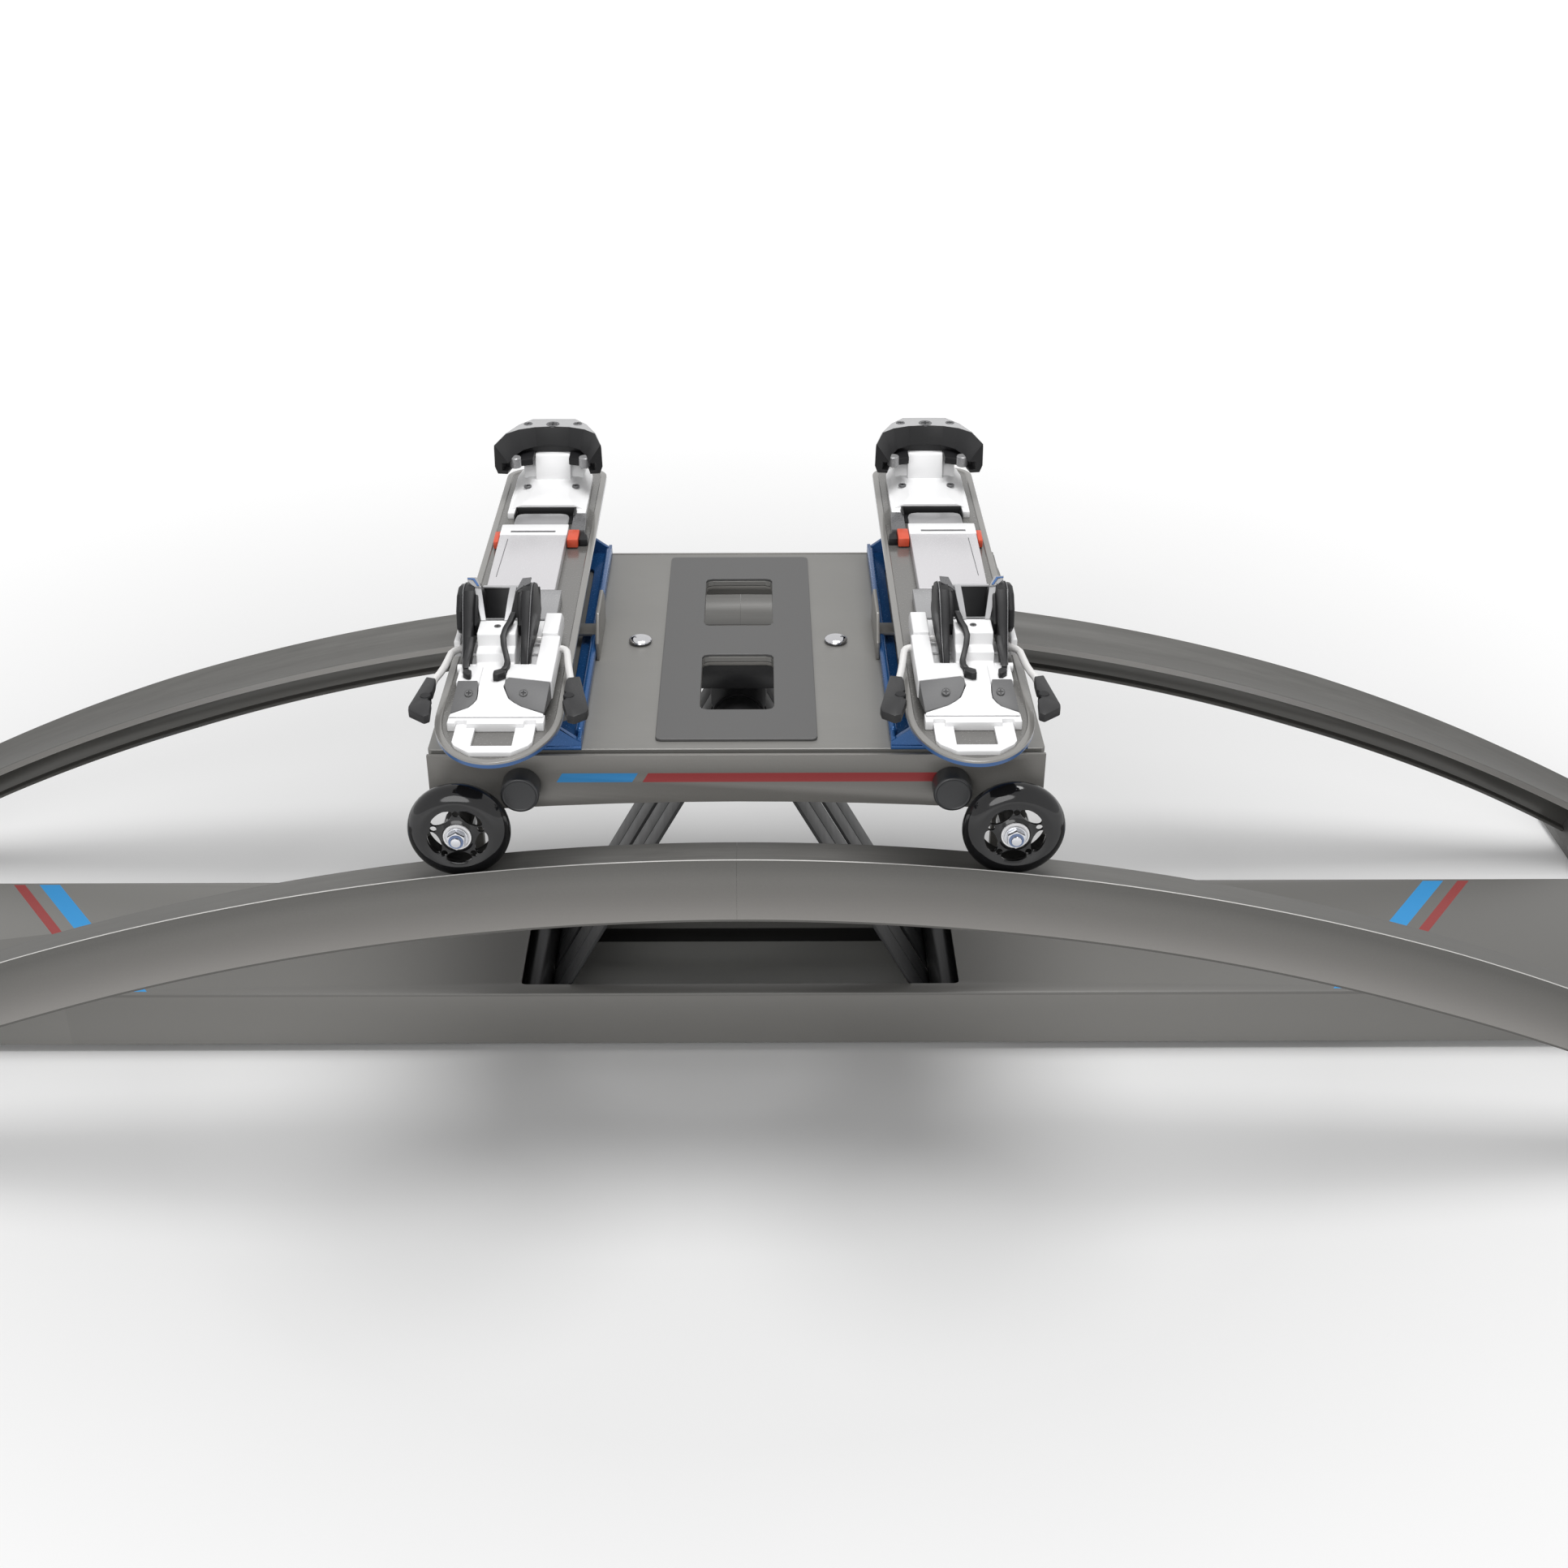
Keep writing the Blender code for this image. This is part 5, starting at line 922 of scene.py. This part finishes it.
def cross_screw(bm, x, y, z, radius, tilt=0.0):
    """A countersunk screw head in a sunk ring, with a raised cross painted near black as the painted shade
    of its recess.
    """
    head = [(0, -0.0012), (radius, -0.0012), (radius, 0.0003), (radius * 0.90, 0.0006),
            (radius * 0.80, 0.0003), (0, 0.0003)]
    part = closed(lathe(bmesh.new(), head, (0, 0, 0), "Z", 32))
    for face in part.faces:
        face.material_index = 0
    a, b = radius * 0.62, radius * 0.14
    cross = [(b, b), (a, b), (a, -b), (b, -b), (b, -a), (-b, -a), (-b, -b), (-a, -b), (-a, b), (-b, b),
             (-b, a), (b, a)]
    # Painted shade: the cross is raised and near black, standing for the shade in its recess.
    merged(part, drawn(cross, 0.0000, 0.0005, "Z", 0), 1)
    bmesh.ops.transform(part, matrix=Matrix.Translation((x, y, z)) @ Matrix.Rotation(tilt, 4, "X"),
                        verts=part.verts)
    return merged(bm, part)


def toe_screws(bm):
    for x, y, radius in SCREW_PLACES:
        cross_screw(bm, x, y, CAP_TOP, radius)
    for hand in (-1, 1):
        cross_screw(bm, hand * 0.0222, 0.1835, 0.4394, 0.0036)


mirrored_pair("toe_head_shell", "ski", toe_head,
              [binding_dark, cap_grey, black_and_painted_shade], "toe_head", smooth=20)
mirrored_pair("toe_riser", "ski", toe_riser, binding_white)
mirrored_pair("wing_rollers", "ski", wing_rollers, wing_roller_grey)
mirrored_pair("toe_screws", "ski", toe_screws, [liner_grey, black_and_painted_shade])


# Glide plate and length slider
# A pale low friction plate that the boot stands on, with a white crossbar and a thin tongue that reaches
# into the toe base. An orange slider goes through below the bar and sets the length.
glide_pale = speckled("glide_pale", (0.54, 0.53, 0.545), 0.03, 1300, 0.26, 0.10, 0.00003)
tongue_grey = speckled("tongue_grey", (0.31, 0.31, 0.315), 0.05, 900, 0.22, 0.10, 0.00003, Metallic=0.2)
slider_orange = speckled("slider_orange", (0.600, 0.075, 0.030), 0.08, 900, 0.34, 0.12, 0.00005)


def glide_plate(bm):
    plan = [(-0.0335, -0.0450), (0.0232, -0.0450), (0.0232, 0.0702), (-0.0352, 0.0702)]
    merged(bm, drawn(plan, SKI_FACE, 0.4386, "Z", 0.0009, 3), 0)
    block(bm, (-0.0354, 0.0234), (0.0698, 0.0925), (SKI_FACE, 0.4391), 0.0009, 3, 1)
    tongue = [(-0.0262, 0.0915), (0.0218, 0.0915), (0.0218, 0.1140), (0.0208, 0.1190), (0.0185, 0.1220),
              (0.0130, 0.1235), (-0.0190, 0.1235), (-0.0235, 0.1220), (-0.0255, 0.1190), (-0.0262, 0.1140)]
    merged(bm, drawn(tongue, 0.4301, 0.4366, "Z", 0.0010, 3), 2)
    block(bm, (-0.0262, 0.0130), (0.0740, 0.0775), (0.4380, 0.4393), 0.0002, 1, 3)
    line = [(-0.0283, -0.0200), (-0.0277, -0.0200), (-0.0268, 0.0600), (-0.0274, 0.0600)]
    merged(bm, drawn(line, 0.4380, 0.4388, "Z", 0), 3)


def length_slider(bm):
    outboard = [(-0.0398, 0.0580), (-0.0356, 0.0580), (-0.0356, 0.0815), (-0.0405, 0.0815)]
    inboard = [(0.0238, 0.0605), (0.0335, 0.0605), (0.0335, 0.0835), (0.0238, 0.0835)]
    thumb = [(0.0337, 0.0660), (0.0412, 0.0660), (0.0416, 0.0700), (0.0405, 0.0770), (0.0375, 0.0815),
             (0.0337, 0.0825)]
    bar = [(0.0252, 0.0850), (0.0378, 0.0850), (0.0368, 0.1240), (0.0252, 0.1240)]
    for plan, low, high, width, index in ((outboard, 0.4300, 0.4372, 0.0010, 0),
                                          (inboard, 0.4300, 0.4380, 0.0010, 0),
                                          (thumb, 0.4292, 0.4355, 0.0008, 1),
                                          (bar, 0.4292, 0.4368, 0.0010, 2)):
        merged(bm, drawn(plan, low, high, "Z", width), index)


mirrored_pair("glide_plate_moulding", "ski", glide_plate,
              [glide_pale, binding_white, tongue_grey, liner_grey], "glide_plate")
mirrored_pair("length_slider", "ski", length_slider, [slider_orange, black_and_painted_shade, liner_grey])


# Heel track
# A white moulded track screwed to the ski, with a chamfered tail round a window and a pair of wings. Its
# front end is covered by a grey bed that slopes up to the glide plate.
bed_grey = speckled("bed_grey", (0.300, 0.300, 0.306), 0.05, 1000, 0.26, 0.10, 0.00003)


def heel_track(bm):
    outer = [(0.0150, -0.3100), (0.0262, -0.3000), (0.0288, -0.2945), (0.0290, -0.2640)]
    whole = drawn(both_sides(outer), SKI_FACE, 0.4326, "Z", 0)
    window = [(-0.0147, -0.3002), (0.0147, -0.3002), (0.0147, -0.2720), (-0.0147, -0.2720)]
    merged(bm, soften(cut_from(whole, drawn(window, 0.42, 0.45, "Z", 0)), 0.0006, 2))
    wings = [(0.0208, -0.2735), (0.0208, -0.2680), (0.0292, -0.2680), (0.0292, -0.2725), (0.0350, -0.2725),
             (0.0350, -0.2602), (0.0200, -0.2530), (0.0135, -0.2420), (0.0120, -0.2250), (0.0120, -0.2060),
             (0.0262, -0.1980), (0.0290, -0.1900), (0.0290, -0.1000)]
    merged(bm, drawn(both_sides(wings), SKI_FACE, 0.4361, "Z", 0.0007))


def heel_bed(bm):
    side = [(-0.1000, 0.4362), (-0.1000, 0.4378), (-0.0465, 0.4386), (-0.0465, 0.4292), (-0.0985, 0.4292),
            (-0.0985, 0.4362)]
    merged(bm, drawn(side, -0.0288, 0.0288, "X", 0.0006))


mirrored_pair("heel_track_moulding", "ski", heel_track, binding_white, "heel_track")
mirrored_pair("heel_bed", "ski", heel_bed, bed_grey)


# Heel housing
# A white stepped housing stands a little outboard on the track and slides along it. A side box stands on
# the inboard side, grey ramps with a screw each run down to the wings, and a lug carries the brake bar.
ramp_grey = speckled("ramp_grey", (0.118, 0.118, 0.120), 0.12, 700, 0.46, 0.10, 0.00003,
                     Specular_IOR_Level=0.25)
NECK_RIGHT = [(0.0036, -0.2340), (0.0034, -0.2390), (0.0052, -0.2452), (0.0080, -0.2505), (0.0120, -0.2535),
              (0.0175, -0.2565)]
NECK_LEFT = [(-0.0150, -0.2340), (-0.0150, -0.2395), (-0.0146, -0.2470), (-0.0152, -0.2510),
             (-0.0178, -0.2545), (-0.0210, -0.2572)]
HOUSING_FOOT = 0.4365
HOUSING_TOP = 0.4518
RAMP_FOOT = (-0.2612, 0.4378)
RAMP_LENGTH, RAMP_RISE = 0.0240, 0.0136


def slope(y):
    """Height of the ramps' surface."""
    return RAMP_FOOT[1] + RAMP_RISE * max(0.0, min(1.0, (y - RAMP_FOOT[0]) / RAMP_LENGTH))


def heel_housing(bm):
    side = [(-0.2346, 0.4366), (-0.2346, 0.4470), (-0.2320, 0.4482), (-0.2000, 0.4484), (-0.1984, 0.4556),
            (-0.1886, 0.4566), (-0.1866, 0.4656), (-0.1850, 0.4665), (-0.1640, 0.4665), (-0.1500, 0.4520),
            (-0.1350, 0.4450), (-0.1350, 0.4366)]
    merged(bm, drawn(side, -0.0215, 0.0075, "X", 0.0009, 3, 0.2))
    foot = [(0.0340, -0.2612), (0.0343, -0.2650), (-0.0343, -0.2650), (-0.0340, -0.2612)]
    plan = NECK_RIGHT + foot + NECK_LEFT[::-1]
    neck = bmesh.new()
    for corner in shape_in(neck, plan, 0.4364, 0.4400):
        corner.co.z = min(slope(corner.co.y) + 0.0007, 0.4484) if corner.co.y > -0.26 else 0.4376
    merged(bm, soften(closed(neck), 0.0006, 2))
    block(bm, (-0.0322, -0.0150), (-0.2345, -0.2088), (HOUSING_FOOT, 0.4500), 0.0010, 3)
    shoulder = [(0.0040, -0.2292), (0.0385, -0.2370), (0.0385, -0.2088), (0.0040, -0.2088)]
    merged(bm, drawn(shoulder, HOUSING_FOOT, HOUSING_TOP, "Z", 0.0010, 3))
    block(bm, (0.0242, 0.0385), (-0.2100, -0.1600), (HOUSING_FOOT, HOUSING_TOP), 0.0010, 3)
    side_box = [(-0.1608, HOUSING_FOOT), (-0.1608, 0.4545), (-0.1250, 0.4545), (-0.1120, 0.4450),
                (-0.1120, HOUSING_FOOT)]
    merged(bm, drawn(side_box, 0.0242, 0.0368, "X", 0.0012, 3))
    block(bm, (-0.0430, -0.0380), (-0.1660, -0.1390), (HOUSING_FOOT, 0.4500), 0.0012)
    block(bm, (-0.0400, 0.0260), (-0.1640, -0.1360), (HOUSING_FOOT, 0.4385), 0.0004)
    lathe(bm, [(0, -0.0355), (0.0034, -0.0355), (0.0034, 0.0215), (0, 0.0215)], (0, -0.201, 0.444), "X", 32)


def heel_ramps(bm):
    right = [(u + 0.0006, v + 0.0004) for u, v in NECK_RIGHT]
    right += [(0.0345, -0.2606), (0.0376, -0.2374), (0.0066, -0.2298)]
    left = [(u - 0.0006, v + 0.0003) for u, v in NECK_LEFT[1:]]
    left += [(-0.0340, -0.2606), (-0.0306, -0.2350), (-0.0160, -0.2350)]
    for plan in (right, left):
        ramp = bmesh.new()
        for corner in shape_in(ramp, plan, 0.4366, 0.4400):
            corner.co.z = slope(corner.co.y)
        merged(bm, soften(closed(ramp), 0.0005, 2), 0)
    lean = math.atan2(RAMP_RISE, RAMP_LENGTH)
    for x in (0.0185, -0.0215):
        cross_screw(bm, x, -0.2460, slope(-0.2460) + 0.0002, 0.0031, lean)
    cross_screw(bm, -0.0072, -0.1745, 0.4665, 0.0026)


mirrored_pair("heel_housing_moulding", "heel", heel_housing, binding_white, "heel_housing")
mirrored_pair("heel_ramps", "heel", heel_ramps, [ramp_grey, black_and_painted_shade])


# Heel cup
# Two tall black arms turn on the housing's axle and are joined by the heel stop. A thin grey plate is
# laminated into each, pale springs slope down between them, and hooks reach down from the housing's back.
INBOARD_ARM, OUTBOARD_ARM = 0.0150, -0.0272
ARM = [(-0.2052, 0.4400), (-0.2010, 0.4378), (-0.1950, 0.4400), (-0.1860, 0.4465), (-0.1780, 0.4490),
       (-0.1500, 0.4488), (-0.1280, 0.4492), (-0.1150, 0.4530), (-0.1090, 0.4590), (-0.1080, 0.4650),
       (-0.1110, 0.4710), (-0.1180, 0.4765), (-0.1280, 0.4820), (-0.1390, 0.4868), (-0.1490, 0.4895),
       (-0.1580, 0.4885), (-0.1680, 0.4805), (-0.1790, 0.4690), (-0.1900, 0.4595), (-0.2010, 0.4515),
       (-0.2060, 0.4455)]


def arms(bm):
    web = [(-0.1680, 0.4550), (-0.1560, 0.4510), (-0.1280, 0.4510), (-0.1140, 0.4580), (-0.1130, 0.4660),
           (-0.1250, 0.4760), (-0.1420, 0.4840), (-0.1530, 0.4850), (-0.1640, 0.4770), (-0.1720, 0.4660)]
    # The inboard arm is cut back along a slanted line in its far half.
    slim = [(u if u < -0.145 else min(u, -0.1180 - (v - 0.462) * 0.6), v) for u, v in ARM]
    pieces = []
    for x, outline in (((0.0105, 0.0176), slim), ((0.0184, 0.0198), slim), ((-0.0334, -0.0255), ARM),
                       ((0.0068, 0.0110), web), ((-0.0258, -0.0226), web)):
        middle = INBOARD_ARM if x[0] > 0 else OUTBOARD_ARM
        pieces.append((drawn(outline, *x, "X", 0.0010, 2, 0.9), 0, middle))
    for x, outline in ((0.0176, slim), (-0.0342, ARM)):
        grown = [(-0.155 + (u + 0.155) * 1.008, 0.466 + (v - 0.466) * 1.014) for u, v in outline]
        middle = INBOARD_ARM if x > 0 else OUTBOARD_ARM
        pieces.append((drawn(grown, x, x + 0.0008, "X", 0), 1, middle))
    # Both arms grow narrower towards the axle.
    for piece, index, middle in pieces:
        for corner in piece.verts:
            share = max(0.0, min(1.0, (corner.co.y + 0.205) / 0.045))
            corner.co.x = middle + (corner.co.x - middle) * (0.62 + 0.38 * share)
        merged(bm, piece, index)
    shield = [(-0.1670, 0.4600), (-0.1600, 0.4535), (-0.1400, 0.4500), (-0.1220, 0.4530), (-0.1130, 0.4610),
              (-0.1120, 0.4690), (-0.1180, 0.4765), (-0.1300, 0.4820), (-0.1430, 0.4855), (-0.1540, 0.4835),
              (-0.1640, 0.4740)]
    merged(bm, drawn(shield, -0.0398, -0.0342, "X", 0.0022, 3, 0.9), 0)
    stop = [(-0.1235, 0.4490), (-0.1110, 0.4520), (-0.1075, 0.4640), (-0.1085, 0.4698), (-0.1115, 0.4698),
            (-0.1150, 0.4600)]
    merged(bm, drawn(stop, -0.0256, 0.0190, "X", 0.0006), 0)
    bar = [(-0.1120, 0.4700), (-0.1085, 0.4700), (-0.1088, 0.4709), (-0.1118, 0.4709)]
    merged(bm, drawn(bar, -0.0254, 0.0114, "X", 0), 2)


def strip(bm, points, widths, thickness):
    """A flat strip through points, with its width at each as a vector."""
    rings = []
    for i, (point, width) in enumerate(zip(points, widths)):
        point, width = Vector(point), Vector(width)
        ahead = Vector(points[min(i + 1, len(points) - 1)]) - Vector(points[max(i - 1, 0)])
        thick = ahead.cross(width).normalized() * thickness / 2
        rings.append([point + a * width / 2 + b * thick for a, b in ((-1, -1), (1, -1), (1, 1), (-1, 1))])
    return skinned(bm, rings)


def springs(bm):
    for x, lean in ((-0.0237, 0.0048), (0.0037, -0.0049)):
        route = [(x, -0.1500, 0.4886), (x + lean * 0.4, -0.1570, 0.4802), (x + lean, -0.1650, 0.4668)]
        part = strip(bmesh.new(), route, [(0.0052, 0, 0), (0.0050, 0, 0), (0.0040, 0, 0)], 0.0010)
        merged(bm, soften(part, 0.0003, 1), 0)
    # A small bent plate lies on top of each arm, with a blue line along the outboard one.
    left = [(-0.0328, -0.1391), (-0.0257, -0.1391), (-0.0206, -0.1520), (-0.0262, -0.1514),
            (-0.0316, -0.1458)]
    right = [(0.0165, -0.1391), (0.0098, -0.1407), (0.0056, -0.1559), (0.0092, -0.1526), (0.0163, -0.1485)]
    line = [(-0.0322, -0.1410), (-0.0268, -0.1418), (-0.0222, -0.1512), (-0.0240, -0.1510),
            (-0.0278, -0.1440), (-0.0322, -0.1430)]
    for plan, low, high, index in ((left, 0.4902, 0.4912, 2), (right, 0.4902, 0.4912, 3),
                                   (line, 0.4913, 0.4916, 1)):
        plate = drawn(plan, low, high, "Z", 0)
        for corner in plate.verts:
            corner.co.z += min(0.0, corner.co.y + 0.1470) * 0.5
        merged(bm, plate, index)


def hooks(bm):
    inboard = [(0.0050, -0.1690, 0.4740), (0.0040, -0.1740, 0.4732), (0.0030, -0.1790, 0.4715),
               (0.0006, -0.1870, 0.4698), (-0.0008, -0.1940, 0.4668), (0.0002, -0.2000, 0.4620),
               (0.0020, -0.2050, 0.4575), (0.0036, -0.2110, 0.4543), (0.0034, -0.2170, 0.4530),
               (0.0015, -0.2220, 0.4522)]
    outboard = [(-0.0258, -0.1880, 0.4630), (-0.0262, -0.1960, 0.4590), (-0.0270, -0.2060, 0.4555),
                (-0.0276, -0.2130, 0.4535), (-0.0266, -0.2200, 0.4522)]
    tip = [(-0.0050, -0.0048), (-0.0010, -0.0052), (0.0048, -0.0010), (0.0050, 0.0030), (0.0006, 0.0052),
           (-0.0050, 0.0020)]
    for route, tip_x, spread, width in ((inboard, -0.0008, 0.9, 0.0044),
                                        (outboard, -0.0248, -0.65, -0.0042)):
        part = strip(bmesh.new(), route, [(width, 0, 0)] * len(route), 0.0050)
        merged(bm, soften(part, 0.0009, 2, 0.6), 0)
        plan = [(tip_x + u * spread, v - 0.2262) for u, v in tip]
        merged(bm, closed(drawn(plan, 0.4486, 0.4545, "Z", 0.0008)), 0)


pale_spring = speckled("pale_spring", (0.46, 0.46, 0.47), 0.05, 900, 0.25, 0.10, 0.00003, Metallic=0.3)
cup_black = speckled("cup_black", (0.014, 0.014, 0.015), 0.15, 1100, 0.40, 0.12, 0.00004,
                     Specular_IOR_Level=0.22)
mirrored_pair("heel_arms", "heel_cup", arms, [cup_black, liner_grey, pale_spring], "heel_cup", smooth=28)
mirrored_pair("heel_springs", "heel_cup", springs, [pale_spring, ski_blue, bed_grey, liner_grey])
mirrored_pair("heel_hooks", "heel", hooks, binding_dark)


# Brakes
# Bent steel wire, painted white, turns in the housing. It ends on each side in a dark moulded pad that
# swings down past the ski when no boot stands on it.
wire_white = speckled("wire_white", (0.74, 0.73, 0.72), 0.06, 900, 0.30, 0.12, 0.00003, Metallic=0.2)
pad_dark = speckled("pad_dark", (0.024, 0.024, 0.025), 0.12, 900, 0.40, 0.12, 0.00006,
                    Specular_IOR_Level=0.25)


def brake_wire(bm):
    """A round bar, bent through points at one height."""
    height, radius, up = 0.4437, 0.0028, Vector((0, 0, 1))
    route = [(0.0522, -0.2300), (0.0506, -0.2180), (0.0486, -0.2060), (0.0466, -0.1920), (0.0452, -0.1800),
             (0.0442, -0.1730), (0.0425, -0.1690), (0.0400, -0.1672), (0.0370, -0.1660), (0.0340, -0.1600),
             (0.0300, -0.1500), (-0.0330, -0.1500), (-0.0360, -0.1620), (-0.0385, -0.1672),
             (-0.0420, -0.1700), (-0.0442, -0.1750), (-0.0450, -0.1850), (-0.0462, -0.1980),
             (-0.0482, -0.2090), (-0.0505, -0.2180), (-0.0516, -0.2300)]
    points = [Vector((*point, height)) for point in route]
    rings = []
    for i, point in enumerate(points):
        ahead = (points[min(i + 1, len(points) - 1)] - points[max(i - 1, 0)]).normalized()
        across = ahead.cross(up).normalized()
        rings.append([point + radius * (across * math.cos(t) + up * math.sin(t))
                      for t in (math.tau * k / 14 for k in range(14))])
    skinned(bm, rings)


def brake_pads(bm):
    left = [(-0.0481, -0.2320), (-0.0487, -0.2240), (-0.0560, -0.2215), (-0.0622, -0.2680),
            (-0.0616, -0.2735), (-0.0490, -0.2845), (-0.0452, -0.2815), (-0.0470, -0.2600),
            (-0.0495, -0.2580), (-0.0495, -0.2470), (-0.0481, -0.2450)]
    right = [(0.0481, -0.2290), (0.0490, -0.2235), (0.0580, -0.2215), (0.0680, -0.2720), (0.0672, -0.2780),
             (0.0585, -0.2855), (0.0535, -0.2830), (0.0480, -0.2600), (0.0500, -0.2580), (0.0500, -0.2470),
             (0.0481, -0.2450)]
    disc = [(0, 0.4412), (0.0042, 0.4412), (0.0042, 0.4478), (0.0037, 0.4485), (0, 0.4485)]
    for hand, plan in ((-1, left), (1, right)):
        merged(bm, drawn(plan, 0.4412, 0.4480, "Z", 0.0010), 0)
        merged(bm, closed(lathe(bmesh.new(), disc, (hand * 0.0523, -0.2525, 0), "Z", 28)), 1)


mirrored_pair("brake_wire", "brake", brake_wire, wire_white, "ski_brake")
mirrored_pair("brake_pads", "brake", brake_pads, [pad_dark, black_and_painted_shade])
